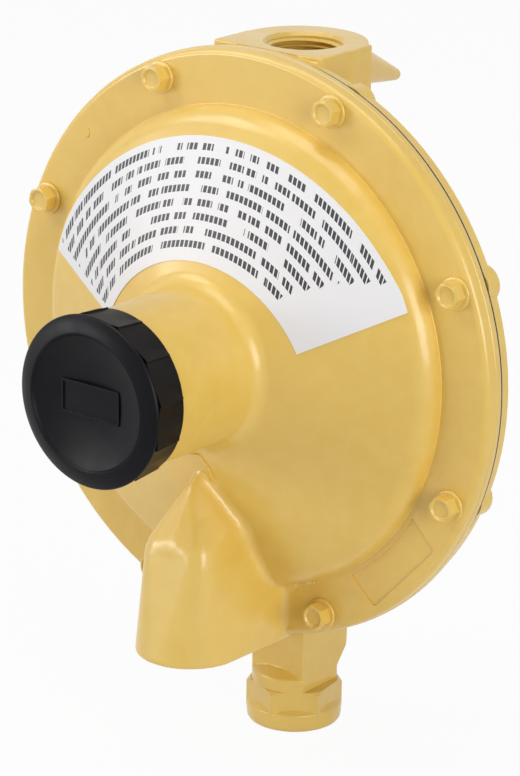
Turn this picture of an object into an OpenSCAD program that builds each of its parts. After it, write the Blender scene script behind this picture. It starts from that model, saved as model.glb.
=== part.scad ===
// Low-pressure gas regulator: two cast half casings clamped on a diaphragm, with a spring neck at
// the front, an adjusting screw under a closing cap, a vent hood that opens downwards, a pipe port
// at each end of one vertical axis, and a lever-worked valve inside.
// Origin: centre of the inlet mouth. +Z runs up the port axis to the outlet, -Y is the cap side.

/* [Ports] */
// Height of the outlet face above the inlet mouth
port_span = 242.2; // [236:0.1:262]
// Height of the spring axis above the inlet mouth
axis_z = 143.6; // [140:0.1:147]
// Distance from the port axis forward to the diaphragm plane
setback = 21.7; // [21.5:0.1:24]
// Wall radius of the outlet pipe bore
outlet_bore_r = 12.2; // [10:0.1:13.5]
// Depth of the outlet pipe bore below its countersink
outlet_bore_depth = 18; // [14:0.5:19]
// Depth of the 45 degree countersink at the outlet and at the vent
countersink = 1.5; // [0.5:0.1:2]
// Radius of the passage between the outlet bore and the chamber
outlet_passage_r = 9.5; // [7:0.1:10]
// Radius of the round back of the outlet boss
outlet_boss_r = 22.3; // [21:0.1:25]
// Height of the outlet boss's foot above the spring axis
outlet_boss_low = 44.6; // [40:0.1:60]
// Distance from the port axis to the flat side of the outlet boss
outlet_flat = 20.5; // [17:0.1:21]
// Wall radius of the inlet pipe bore
inlet_bore_r = 9.3; // [8:0.1:10]
// Depth of the inlet pipe bore
inlet_bore_depth = 12; // [10:0.1:12.5]

/* [Inlet fitting] */
// Height of the inlet barrel
barrel_h = 14.5; // [14:0.1:18]
// Radius of the round foot of the barrel
barrel_r = 16.3; // [15.5:0.1:18]
// Height of the round foot below the wrench flats
barrel_foot_h = 5.5; // [3:0.1:8]
// Distance across the wrench flats
barrel_af = 28.6; // [27:0.1:31]
// Turn of the wrench flats about the port axis
barrel_turn = 38.6; // [0:0.1:60]
// Radius of the threaded shank above the barrel
shank_r = 8.4; // [7.5:0.1:9]
// Length of the threaded shank
shank_l = 20; // [14:0.5:24]
// Radius of the gas way through the shank and up to the nozzle
feed_r = 6; // [4:0.1:6.2]

/* [Flanges] */
// Diameter of the front flange
flange_d = 200.6; // [194:0.1:242]
// Width of the flat land between the rim and the foot of the dome
flange_land = 18.5; // [17:0.1:22]
// Thickness of the front flange
bonnet_flange_t = 8.8; // [6:0.1:12]
// Thickness of the rear flange
casing_flange_t = 3.7; // [3:0.1:6]
// How far the rear flange stands inside the front one
casing_flange_inset = 1.8; // [0.5:0.1:3]
// Radial width and height of the eased front edge of the rim
rim_ease = 2.2; // [0.5:0.1:3]
// Number of flange screws
screw_count = 8; // [6:1:10]
// Distance from the rim in to the screw circle
screw_inset = 7; // [6.2:0.1:8]
// Shank radius of a flange screw
screw_r = 2.4; // [2:0.1:2.7]
// Distance across the flats of a screw head
screw_af = 7.94; // [7:0.01:9]
// Height of a screw head with its washer
screw_head_h = 5; // [3.5:0.1:6]
// Radius of the washer under a screw head
screw_washer_r = 5.8; // [5:0.1:6]
// Radius of the casting boss behind each screw
screw_boss_r = 6.3; // [5.5:0.1:7]
// How far each boss stands back from the rear flange
screw_boss_h = 1.3; // [0.5:0.1:4]

/* [Bonnet] */
// Wall of the bonnet dome
dome_wall = 3.6; // [3:0.1:5]
// Height at which the dome's cone would close on the axis
cone_apex_h = 43.8; // [41:0.1:48]
// Fall of the cone for each millimetre of radius
cone_slope = 0.345; // [0.3:0.005:0.38]
// Radius of the rounded shoulder of the dome
shoulder_r = 5; // [3:0.1:7]
// Radius of the neck where it leaves the cone
neck_root_r = 27; // [26.5:0.1:30]
// Radius of the neck at its mouth
neck_tip_r = 26; // [25:0.1:26.3]
// Height of the neck's mouth above the diaphragm plane
neck_h = 80; // [78:0.1:90]
// Radius of the hollow between neck and cone
neck_fillet_r = 6; // [3:0.1:9]
// Wall radius of the adjusting screw's thread in the neck
neck_bore_r = 20.5; // [19.5:0.1:21]
// Wall radius of the closing cap's thread at the neck's mouth
cap_bore_r = 22.4; // [21.8:0.1:22.9]
// Depth of the closing cap's thread
cap_bore_depth = 11; // [8:0.1:12]

/* [Vent hood] */
// Distance from the spring axis down to the vent mouth
vent_drop = 100.4; // [97:0.1:116]
// Distance of the vent's axis in front of the diaphragm plane
vent_h = 35.5; // [34:0.1:38]
// Outer radius of the vent mouth
vent_r = 18.4; // [17:0.1:21]
// Wall radius of the vent pipe bore
vent_bore_r = 12.2; // [10:0.1:13]
// Depth of the vent pipe bore
vent_bore_depth = 13.5; // [12:0.1:15]
// Half width of the hood where it meets the flange
hood_half_w = 19; // [17:0.1:21]
// Half width of the hood at its shoulders
hood_shoulder_w = 13.5; // [12.5:0.1:15]
// Distance from the spring axis down to the hood's shoulders
hood_shoulder_drop = 63; // [60:0.1:67]
// Distance from the spring axis down to the hood's peak
hood_peak_drop = 39.2; // [37:0.1:44]

/* [Casing] */
// Wall of the rear bowl
bowl_wall = 4; // [3:0.1:5.5]
// Outer radius of the bowl at the rear flange
bowl_r = 83.5; // [82:0.1:86]
// Depth of the bowl on its axis
bowl_depth = 31.5; // [30:0.1:34]
// Rise of the bowl's back for each millimetre of radius
bowl_slope = 0.1; // [0.05:0.01:0.15]
// Radius of the bowl's rounded corner
bowl_corner_r = 9; // [6:0.1:11]
// Radius of the valve housing that stands on the bowl
housing_r = 20.6; // [20:0.1:20.8]
// Width of the inlet column
column_w = 23; // [21:0.1:27]
// Radius of the collar at the foot of the inlet column
collar_r = 15.1; // [13.5:0.1:16.2]

/* [Diaphragm set] */
// Thickness of the diaphragm between the flanges
diaphragm_t = 1.2; // [0.8:0.1:2]
// Radius of the front pressure plate
plate_r = 52; // [44:0.1:54]
// Sheet thickness of the plates
plate_t = 1.6; // [1:0.1:2]
// Height of the pressure plate's turned-up rim
plate_rim_h = 4; // [2:0.1:5]
// Height of the diaphragm's roll
roll_h = 8; // [5:0.1:9]
// Radius of the relief passage through the hub
hub_bore_r = 4.2; // [3.5:0.1:4.5]
// Outer radius of the hub tube
hub_r = 7; // [6.2:0.1:7.5]
// Radius of the relief stem
stem_r = 2.5; // [2:0.1:2.9]
// Radius of the stem's seat flange
stem_flange_r = 9; // [8:0.1:10]

/* [Springs] */
// Mean radius of the main spring
main_spring_r = 15.5; // [14:0.1:17]
// Wire radius of the main spring
main_wire_r = 1.6; // [1.2:0.1:1.8]
// Turns of the main spring
main_turns = 9; // [7:1:11]
// Mean radius of the relief spring
relief_spring_r = 6.2; // [5.8:0.1:7]
// Wire radius of the relief spring
relief_wire_r = 0.7; // [0.5:0.1:0.8]
// Turns of the relief spring
relief_turns = 7; // [5:1:9]

/* [Adjuster and cap] */
// Height of the adjusting screw's inner face above the diaphragm plane
adjuster_h = 56; // [54:0.1:57]
// Thickness of the adjusting screw
adjuster_t = 8; // [6:0.1:8.5]
// Thickness of the upper spring seat
seat_t = 2.5; // [2:0.1:4]
// Radius of the closing cap at its front lip
cap_r = 28.7; // [28.5:0.1:31]
// Radius of the cap's skirt at its back edge
cap_back_r = 27.8; // [27.7:0.1:28.2]
// Height of the cap over its skirt
cap_h = 16; // [15.5:0.1:19]
// How far the cap's skirt reaches over the neck
cap_lap = 7.7; // [6:0.1:8.5]
// Number of grip panels round the cap
cap_panels = 12; // [8:1:16]
// Radius of the round recess in the cap's face
cap_dish_r = 23.2; // [20:0.1:24]

/* [Valve] */
// Distance from the spring axis down to the lever pin
pivot_drop = 66; // [64:0.1:68]
// Distance from the port axis back to the lever pin
pivot_back = 9.3; // [9:0.1:10]
// Radius of the lever pin
pin_r = 1.5; // [1.3:0.1:1.8]
// Radius of the valve's disc holder
holder_r = 6.4; // [6:0.1:6.6]
// Radius of the nozzle's orifice
orifice_r = 3; // [2:0.1:3.2]
// Gap between seat disc and nozzle with the valve open
valve_lift = 1.02; // [1:0.01:1.3]
// Width of the lever
lever_w = 8; // [7:0.1:8.2]

/* [Fits] */
// Radial gap of a screw or thread in its hole
thread_gap = 0.05; // [0.02:0.01:0.1]
// Radial gap of a piece that slides or turns
slide_gap = 0.1; // [0.05:0.01:0.2]
// Gap between flat faces that meet
face_gap = 0.05; // [0.02:0.01:0.1]

/* [Hidden] */
$fn = 96;
gold = "#DEB864";
brass = "#C9A648";
steel = "#A9ADB2";
rubber = "#26262A";
EPS = 0.01;

flange_r = flange_d / 2;
dome_r = flange_r - flange_land;
screw_circle_r = flange_r - screw_inset;
split = diaphragm_t / 2 + face_gap;
face_h = split + bonnet_flange_t;
cavity_r = dome_r - dome_wall;
slant = sqrt(1 + cone_slope * cone_slope);
cone_angle = atan2(1, cone_slope);
outlet_top = port_span - axis_z;
casing_flange_r = flange_r - casing_flange_inset;
cap_mouth_h = neck_h - cap_bore_depth;
gasket_t = 1.2;
outlet_boss_x = -1.4;
vent_way_r = 7;
vent_way_y = cavity_r - vent_way_r + 1;
screen_seat_r = vent_bore_r - 0.6;
screen_seat_t = 2.6;
screen_t = 0.5;
screen_y = -vent_drop + vent_bore_depth + screen_seat_t - screen_t - face_gap;
screw_bite = casing_flange_t + screw_boss_h - 0.4;
tap_plug_r = 4.3;
tap_drop = 12;
gasket_r = neck_tip_r - 0.4;
cap_seat_h = neck_h + gasket_t + 2 * face_gap;
cap_back_h = neck_h - cap_lap;
cap_front_h = cap_back_h + cap_h;
cap_face_h = cap_front_h - 2.1;
plug_wall = 2.6;

valve_h = -setback;
pivot_h = -setback - pivot_back;
pocket_back_h = -setback - 14.3;
pocket_floor = -pivot_drop - 14;
pocket_top = -pivot_drop + 30;
bracket_t = 1.5;
ear_t = 2;
ear_gap = 0.3;
ear_r = 3.3;
ear_inner = lever_w / 2 + ear_gap;
bracket_screw_r = 1.5;
bracket_head_r = 2.7;
hub_lever_r = 3;
nozzle_r = 5.5;
nozzle_hex_r = holder_r + 0.5;
nozzle_hex_t = 3;
nozzle_lip_t = 1.5;
nozzle_shank_l = 8;
lip_y = pocket_floor + nozzle_hex_t + nozzle_lip_t;
disc_r = 5;
disc_t = 2.5;
disc_y = lip_y + valve_lift;
guide_top = -pivot_drop - ear_r - 0.3;
guide_r = holder_r + slide_gap + 2.3;
pocket_half_w = guide_r + 0.2;
pocket_front_h = -setback + guide_r + 0.4;
holder_foot = disc_y + disc_t / 2;
nose_r = 1.9;
fork_t = 2;
fork_gap_front = 0.4;
fork_gap_back = 0.8;
groove_front = -diaphragm_t / 2 - plate_t - face_gap - 4.9;
groove_back = groove_front - fork_t - fork_gap_front - fork_gap_back;
fork_h = groove_front - fork_gap_front - fork_t / 2;
relief_disc_t = 2;
seat_face = -diaphragm_t / 2 - face_gap - plate_t - 0.3;
stem_flange_front = seat_face - 0.1 - relief_disc_t;
plate_top = diaphragm_t / 2 + face_gap + plate_t;
retainer_h = plate_top + 17.8;
retainer_t = 2.5;
stem_tip = retainer_h + 6.5;
seat_h = adjuster_h - seat_t - face_gap;
barrel_top = barrel_h - axis_z;
shank_top = barrel_top + shank_l;
collar_top = barrel_top + 4.6;

label_drop = 10;
label_outer_r = 83;
label_inner_r = 44.2;
label_left = 67.5;
label_right = 62.3;
label_t = 0.25;

// Local frame of the spring axis: x across, y up, z forward from the diaphragm plane.
module on_spring_axis() {
    translate([0, -setback, axis_z]) rotate([90, 0, 0]) children();
}

// A shape drawn with (forward, up) and given a width across the part.
module side_profile(width) {
    rotate([0, -90, 0]) linear_extrude(width, center = true) children();
}

// A cylinder along the local up axis, standing at height y0 above the spring axis.
module upright(y0, length, r, fn = $fn) {
    translate([0, y0, 0]) rotate([-90, 0, 0]) cylinder(h = length, r = r, $fn = fn);
}

// A cone along the local up axis.
module upright_cone(y0, length, low_r, high_r) {
    translate([0, y0, 0]) rotate([-90, 0, 0]) cylinder(h = length, r1 = low_r, r2 = high_r);
}

// Puts children at each flange screw, with local z pointing forward.
module at_screws() {
    for (i = [0 : screw_count - 1])
        rotate([0, 0, (i + 0.5) * 360 / screw_count]) translate([0, screw_circle_r, 0]) children();
}

// Points of an arc from angle a0 to a1.
function arc(cx, cy, r, a0, a1, steps) =
    [for (i = [0 : steps]) let (a = a0 + (a1 - a0) * i / steps) [cx + r * cos(a), cy + r * sin(a)]];

// Half outline of a dome: a wall at radius foot, a rounded shoulder, then a cone towards apex.
function dome_top(foot, apex, slope, corner) =
    let (s = sqrt(1 + slope * slope), rc = foot - corner, hc = apex - slope * rc - corner * s)
    arc(rc, hc, corner, 0, atan2(1, slope), 10);

// Hollow arc between a cone and an upright wall at radius wall.
function cone_fillet(wall, apex, slope, r) =
    let (s = sqrt(1 + slope * slope), rc = wall + r, hc = apex - slope * rc + r * s)
    arc(rc, hc, r, atan2(1, slope) - 180, -180, 10);

// Height of a coil's centre line after some turns; the first and the last turn lie closer together.
function coil_height(turn, turns, low, high, wire) =
    let (closed = 2 * wire + 0.5, free = high - low - 2 * closed)
    turn < 1 ? low + closed * turn
    : turn > turns - 1 ? high - closed * (turns - turn)
    : low + closed + free * (turn - 1) / (turns - 2);

// One unbroken tube wound as a compression spring; the console shows its least gap to itself.
module coil(name, mean_r, wire, turns, low, high) {
    rings = 8;
    sides = 6;
    steps = turns * rings;
    heights = [for (i = [0 : steps]) coil_height(i / rings, turns, low, high, wire)];
    echo(str(name, " least gap ", min([for (i = [0 : steps - rings]) heights[i + rings] - heights[i] - 2 * wire])));
    points = [for (i = [0 : steps]) for (j = [0 : sides - 1])
        let (a = 360 * i / rings, b = 360 * j / sides, r = mean_r + wire * cos(b))
            [r * cos(a), r * sin(a), heights[i] + wire * sin(b)]];
    skin = [for (i = [0 : steps - 1]) for (j = [0 : sides - 1])
        let (k = (j + 1) % sides, a = i * sides + j, b = i * sides + k)
            for (f = [[a, a + sides, b], [b, a + sides, b + sides]]) f];
    ends = [for (j = [1 : sides - 2]) for (f = [[0, j, j + 1],
        [steps * sides, steps * sides + j + 1, steps * sides + j]]) f];
    polyhedron(points = points, faces = concat(skin, ends), convexity = 10);
}

// ---- Cast halves ----

module bowl_outside() {
    rotate_extrude() polygon(concat(
        [[0, split], [casing_flange_r, split], [casing_flange_r, split + casing_flange_t],
         [bowl_r + 3, split + casing_flange_t], [bowl_r, split + casing_flange_t + 3]],
        dome_top(bowl_r, bowl_depth, bowl_slope, bowl_corner_r),
        [[0, bowl_depth]]));
}

module bowl_inside() {
    rotate_extrude() polygon(concat(
        [[0, -EPS], [cavity_r, -EPS]],
        dome_top(cavity_r, bowl_depth - bowl_wall, bowl_slope, bowl_corner_r - bowl_wall),
        [[0, bowl_depth - bowl_wall]]));
}

module column_profile() {
    front = -setback + 9.8;
    back = -setback - 10.7;
    side_profile(column_w) polygon([
        [front, -60], [front, barrel_top + 4], [back, barrel_top + 4], [back, barrel_top + 5],
        [back - 8.4, barrel_top + 17], [-setback - housing_r + 0.5, -95], [-setback - housing_r + 0.5, -60]]);
}

module outlet_boss() {
    length = outlet_top - outlet_boss_low;
    translate([0, outlet_top - length, valve_h]) {
        translate([outlet_boss_x, 0, 0]) upright(0, length, outlet_boss_r);
        translate([outlet_boss_x - outlet_boss_r + 0.1, 0, 0])
            cube([outlet_boss_r - outlet_boss_x - 0.1 + outlet_flat, length, setback - split]);
        translate([outlet_boss_x + 5, 0, -10.1]) cube([outlet_flat - outlet_boss_x - 5, length, 10.2]);
    }
}

module rear_lug() {
    lug_l = 21;
    tip_r = 2.1;
    translate([14, outlet_top - 8.2, valve_h - 12.3]) rotate([180, 0, 0]) rotate([-17.4, 0, 0]) {
        cylinder(h = lug_l, r1 = 9, r2 = tip_r);
        translate([0, 0, lug_l]) sphere(r = tip_r, $fn = 24);
    }
}

module casing_solid() {
    rotate([180, 0, 0]) bowl_outside();
    rotate([0, 0, 180 / screw_count]) rotate([180, 0, 0])
        for (i = [0 : screw_count - 1]) rotate([0, 0, i * 360 / screw_count])
            translate([0, screw_circle_r, split]) cylinder(h = casing_flange_t + screw_boss_h, r = screw_boss_r);
    translate([0, 0, valve_h]) {
        upright(-95, 69, housing_r);
        upright_cone(-26, 12, housing_r, 13);
        upright_cone(-103, 8, 12, housing_r);
        upright(-40, 130, 17);
        upright(barrel_top, collar_top - barrel_top, collar_r);
        upright_cone(collar_top, 3.6, collar_r, column_w / 2);
    }
    column_profile();
    outlet_boss();
    rear_lug();
}

module rear_casing() {
    color(gold) on_spring_axis() difference() {
        casing_solid();
        // everything in front of the split plane
        translate([-flange_d, -2 * flange_d, -split]) cube([2 * flange_d, 4 * flange_d, 4 * flange_d]);
        rotate([180, 0, 0]) bowl_inside();
        translate([0, 0, valve_h]) {
            translate([0, outlet_top, 0]) {
                upright(-countersink - outlet_bore_depth, outlet_bore_depth + countersink + 1, outlet_bore_r);
                upright_cone(-countersink, countersink + EPS, outlet_bore_r, outlet_bore_r + countersink);
            }
            upright(outlet_boss_low, outlet_top - outlet_boss_low - countersink, outlet_passage_r);
            upright(barrel_top - 1, shank_l + 2, shank_r + thread_gap);
            upright(shank_top - 1, pocket_floor - nozzle_shank_l - shank_top + 1, feed_r);
            upright(pocket_floor - nozzle_shank_l - EPS, nozzle_shank_l + 1, nozzle_r + thread_gap);
        }
        // pocket that holds the valve and the lever
        translate([-pocket_half_w, pocket_floor, pocket_back_h])
            cube([2 * pocket_half_w, pocket_top - pocket_floor, pocket_front_h - pocket_back_h]);
        at_bracket_screws() translate([0, 0, pocket_back_h - 4.5]) cylinder(h = 5, r = bracket_screw_r + thread_gap);
        // threaded holes of the flange screws
        at_screws() translate([0, 0, -split - screw_bite - 1]) cylinder(h = screw_bite + 2, r = screw_r + thread_gap);
        translate([outlet_boss_x - outlet_boss_r - 1, outlet_top - tap_drop, valve_h]) rotate([0, 90, 0])
            cylinder(h = outlet_boss_r - outlet_boss_x + 1, r = tap_plug_r + thread_gap);
    }
}

function bonnet_outline() = concat(
    [[0, split], [flange_r, split], [flange_r, face_h - rim_ease - 0.6]],
    arc(flange_r - rim_ease, face_h - rim_ease, rim_ease, 0, 90, 6),
    arc(dome_r + 2, face_h + 2, 2, -90, -180, 6),
    dome_top(dome_r, cone_apex_h, cone_slope, shoulder_r),
    cone_fillet(neck_root_r, cone_apex_h, cone_slope, neck_fillet_r),
    [[neck_tip_r, neck_h - 0.8], [neck_tip_r - 0.8, neck_h], [0, neck_h]]);

module bonnet_inside() {
    rotate_extrude() polygon(concat(
        [[0, -1], [cavity_r, -1]],
        dome_top(cavity_r, cone_apex_h - dome_wall * slant, cone_slope, shoulder_r - 1),
        [[neck_bore_r, cone_apex_h - dome_wall * slant - cone_slope * neck_bore_r],
         [neck_bore_r, cap_mouth_h], [cap_bore_r, cap_mouth_h + 0.8], [cap_bore_r, neck_h + 1], [0, neck_h + 1]]));
}

// Two upright rounded corners and a back edge: the hood's section at its shoulders.
module hood_shoulder() {
    corner = 5;
    for (side = [-1, 1])
        translate([side * (hood_shoulder_w - corner), -hood_shoulder_drop, vent_h + 5.5])
            rotate([-90, 0, 0]) cylinder(h = 0.6, r = corner, $fn = 32);
    translate([-hood_shoulder_w, -hood_shoulder_drop, face_h + 4])
        cube([2 * hood_shoulder_w, 0.6, 8]);
}

module hood() {
    hull() {
        translate([0, 0, vent_h]) upright(-vent_drop, 1.2, vent_r, 64);
        translate([-hood_half_w, -vent_drop, face_h - 1]) cube([2 * hood_half_w, 19, 1.2]);
        hood_shoulder();
    }
    hull() {
        hood_shoulder();
        for (side = [-1, 1])
            translate([side * 0.6, -hood_peak_drop - 1, vent_h - 2.4]) rotate([-90, 0, 0])
                cylinder(h = 1, r = 1.6, $fn = 24);
        translate([-2, -hood_peak_drop - 1, vent_h - 14]) cube([4, 1, 4]);
    }
}

module bonnet() {
    color(gold) on_spring_axis() difference() {
        union() {
            rotate_extrude() polygon(bonnet_outline());
            hood();
        }
        bonnet_inside();
        translate([0, 0, vent_h]) {
            upright(-vent_drop - 1, vent_bore_depth + 1, vent_bore_r);
            upright_cone(-vent_drop - EPS, countersink, vent_bore_r + countersink, vent_bore_r);
            upright(-vent_drop + vent_bore_depth - EPS, screen_seat_t, screen_seat_r);
            upright(-vent_drop + vent_bore_depth + 1, vent_drop - vent_bore_depth - 1 - vent_way_y + vent_way_r, vent_way_r);
        }
        // way from the spring chamber into the vent
        translate([0, -vent_way_y, 6]) cylinder(h = vent_h - 6, r = vent_way_r);
        at_screws() translate([0, 0, split - 1]) cylinder(h = bonnet_flange_t + 2, r = screw_r + 0.3);
    }
}

// ---- Fasteners of the flange ----

module flange_screws() {
    washer_t = 1;
    color(gold) on_spring_axis() at_screws() translate([0, 0, face_h + face_gap]) difference() {
        union() {
            cylinder(h = washer_t, r = screw_washer_r);
            cylinder(h = screw_head_h - 0.5, r = screw_af / sqrt(3), $fn = 6);
            intersection() {
                cylinder(h = screw_head_h, r = screw_af / sqrt(3), $fn = 6);
                cylinder(h = screw_head_h, r = screw_af / 2 + 0.15);
            }
            translate([0, 0, -face_h - face_gap - split - screw_bite])
                cylinder(h = face_h + face_gap + split + screw_bite + EPS, r = screw_r);
        }
        translate([0, 0, screw_head_h - 0.6]) cylinder(h = 1, r = screw_af / 2 - 1.1);
    }
}

// ---- Diaphragm set ----

roll_inner = plate_r + 1.5;
roll_outer = cavity_r - 1;
roll_mid = (roll_inner + roll_outer) / 2;
roll_half = (roll_outer - roll_inner) / 2;
roll_r = (roll_half * roll_half + roll_h * roll_h) / (2 * roll_h);
roll_centre = roll_h - roll_r;

// Arc of the roll at radius r, cut where it meets the flat face at height level.
function roll_arc(r, level, dir) =
    let (a = acos((level - roll_centre) / r))
    [for (i = [0 : 16]) let (b = dir * a * (1 - i / 8)) [roll_mid + r * sin(b), roll_centre + r * cos(b)]];

module diaphragm() {
    half = diaphragm_t / 2;
    color("#33302C") on_spring_axis() difference() {
        rotate_extrude() polygon(concat(
            [[hub_r + thread_gap, -half], [hub_r + thread_gap, half]],
            roll_arc(roll_r + half, half, -1),
            [[flange_r - 3, half], [flange_r - 3, -half]],
            roll_arc(roll_r - half, -half, 1)));
        at_screws() translate([0, 0, -diaphragm_t]) cylinder(h = 2 * diaphragm_t, r = screw_r + 0.3);
    }
}

module pressure_plate() {
    low = diaphragm_t / 2 + face_gap;
    color(steel) on_spring_axis() rotate_extrude() polygon([
        [hub_bore_r, seat_face], [hub_r, seat_face], [hub_r, low], [plate_r - plate_t, low],
        [plate_r, low + plate_t], [plate_r, low + plate_rim_h], [plate_r - plate_t, low + plate_rim_h],
        [plate_r - plate_t, low + plate_t + 0.8], [plate_r - plate_t - 0.8, low + plate_t], [hub_bore_r, low + plate_t]]);
}

module backing_plate() {
    top = -diaphragm_t / 2 - face_gap;
    color(steel) on_spring_axis() rotate_extrude() polygon([
        [hub_r + thread_gap, top - plate_t], [21.2, top - plate_t], [22, top - plate_t + 0.8],
        [22, top], [hub_r + thread_gap, top]]);
}

module relief_stem() {
    collar = 5;
    color(brass) on_spring_axis() rotate_extrude() polygon([
        [0, groove_back - 2.6], [collar - 0.6, groove_back - 2.6], [collar, groove_back - 2], [collar, groove_back],
        [stem_r, groove_back], [stem_r, groove_front], [stem_flange_r, groove_front],
        [stem_flange_r, stem_flange_front], [stem_r, stem_flange_front], [stem_r, stem_tip - 0.6],
        [stem_r - 0.6, stem_tip], [0, stem_tip]]);
}

module relief_disc() {
    color(rubber) on_spring_axis() rotate_extrude() polygon([
        [stem_r + thread_gap, stem_flange_front], [stem_flange_r - 0.5, stem_flange_front],
        [stem_flange_r - 0.5, stem_flange_front + relief_disc_t], [stem_r + thread_gap, stem_flange_front + relief_disc_t]]);
}

module relief_spring() {
    color(steel) on_spring_axis()
        coil("relief_spring", relief_spring_r, relief_wire_r, relief_turns,
            plate_top + relief_wire_r + face_gap, retainer_h - relief_wire_r - face_gap);
}

module relief_retainer() {
    nut_af = 8;
    color(brass) on_spring_axis() translate([0, 0, retainer_h]) difference() {
        union() {
            cylinder(h = retainer_t, r = relief_spring_r + relief_wire_r + 1.2);
            cylinder(h = retainer_t + 3.2, r = nut_af / sqrt(3), $fn = 6);
        }
        translate([0, 0, -1]) cylinder(h = retainer_t + 6, r = stem_r + thread_gap);
    }
}

// ---- Neck: spring, adjuster and cap ----

module main_spring() {
    color(steel) on_spring_axis()
        coil("main_spring", main_spring_r, main_wire_r, main_turns,
            plate_top + main_wire_r + face_gap, seat_h - main_wire_r - face_gap);
}

module spring_seat() {
    spigot_r = main_spring_r * cos(22.5) - main_wire_r - 0.5;
    color(steel) on_spring_axis() translate([0, 0, seat_h]) rotate_extrude() polygon([
        [0, -3], [spigot_r - 1, -3], [spigot_r, -2], [spigot_r, 0], [neck_bore_r - 0.7, 0],
        [neck_bore_r - 0.7, seat_t], [0, seat_t]]);
}

module adjusting_screw() {
    r = neck_bore_r - slide_gap;
    color(brass) on_spring_axis() translate([0, 0, adjuster_h]) difference() {
        rotate_extrude() polygon([[0, 0], [r - 0.8, 0], [r, 0.8], [r, adjuster_t - 0.8], [r - 0.8, adjuster_t], [0, adjuster_t]]);
        // slot for a flat key, and the round well around it
        translate([0, 0, adjuster_t - 3]) cylinder(h = 4, r = r - 5);
        translate([-r + 3, -1.6, adjuster_t - 5]) cube([2 * r - 6, 3.2, 6]);
    }
}

module cap_gasket() {
    color(rubber) on_spring_axis() translate([0, 0, neck_h + face_gap]) rotate_extrude()
        polygon([[cap_bore_r + 0.3, 0], [gasket_r, 0], [gasket_r, gasket_t], [cap_bore_r + 0.3, gasket_t]]);
}

module closing_cap() {
    plug_r = cap_bore_r - slide_gap - 0.05;
    skirt_r = neck_tip_r + 0.35;
    lip_r = cap_r - 0.3;
    panel_h = cap_front_h - cap_back_h - 3.4;
    color("#1E1F22") on_spring_axis() difference() {
        rotate_extrude() polygon([
            [skirt_r, cap_back_h], [cap_back_r, cap_back_h], [lip_r, cap_front_h - 3], [lip_r - 0.9, cap_front_h - 2.8],
            [lip_r - 0.9, cap_front_h - 2.2], [cap_r, cap_front_h - 2], [cap_r, cap_front_h - 0.9],
            [cap_r - 0.9, cap_front_h], [cap_dish_r + 1, cap_front_h], [cap_dish_r, cap_front_h - 0.7],
            [cap_dish_r - 0.3, cap_face_h], [0, cap_face_h], [0, cap_face_h - 3],
            [plug_r - plug_wall, cap_face_h - 3], [plug_r - plug_wall, cap_mouth_h + 1], [plug_r - 0.6, cap_mouth_h + 1],
            [plug_r, cap_mouth_h + 1.6], [plug_r, cap_seat_h], [skirt_r, cap_seat_h]]);
        for (i = [0 : cap_panels - 1])
            rotate([0, 0, 8 + i * 360 / cap_panels]) translate([cap_back_r, -cap_r, cap_back_h - 1])
                rotate([0, 1.6, 0]) translate([-0.2, 0, 0]) cube([4, 2 * cap_r, panel_h + 0.6]);
    }
}

// ---- Inlet fitting and valve ----

module inlet_fitting() {
    corner_r = barrel_af / sqrt(3);
    ease = 1.2;
    color(gold) difference() {
        union() {
            rotate_extrude() polygon([
                [0, 0], [barrel_r - ease, 0], [barrel_r, ease], [barrel_r, barrel_foot_h], [0, barrel_foot_h]]);
            intersection() {
                translate([0, 0, barrel_foot_h - EPS]) rotate([0, 0, barrel_turn])
                    cylinder(h = barrel_h - barrel_foot_h + EPS, r = corner_r + 0.15, $fn = 6);
                cylinder(h = barrel_h, r = corner_r);
            }
            cylinder(h = barrel_h + shank_l, r = shank_r);
        }
        translate([0, 0, -1]) cylinder(h = inlet_bore_depth + 1, r = inlet_bore_r);
        cylinder(h = barrel_h + shank_l + 1, r = feed_r);
    }
}

module in_valve_frame() {
    on_spring_axis() translate([0, 0, valve_h]) children();
}

module nozzle() {
    color(brass) in_valve_frame() difference() {
        union() {
            upright(pocket_floor - nozzle_shank_l, nozzle_shank_l + face_gap + EPS, nozzle_r);
            upright(pocket_floor + face_gap, nozzle_hex_t - face_gap, nozzle_hex_r, 6);
            upright_cone(pocket_floor + nozzle_hex_t - EPS, nozzle_lip_t + EPS, orifice_r + 2, orifice_r + 0.8);
        }
        upright(pocket_floor - nozzle_shank_l - 1, nozzle_shank_l + nozzle_hex_t + nozzle_lip_t + 2, orifice_r);
    }
}

module valve_guide() {
    waist = pocket_floor + nozzle_hex_t + 0.3;
    color("#B9B5A6") in_valve_frame() difference() {
        upright(pocket_floor + face_gap, guide_top - pocket_floor - face_gap, guide_r);
        upright(pocket_floor - 1, waist - pocket_floor + 1, nozzle_hex_r + 0.15);
        upright(pocket_floor, guide_top - pocket_floor + 1, holder_r + slide_gap);
        for (i = [0 : 1])
            translate([0, lip_y + 1.2, 0]) rotate([0, 90 * i + 45, 0]) translate([0, 0, -12]) cylinder(h = 24, r = 2);
    }
}

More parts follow.
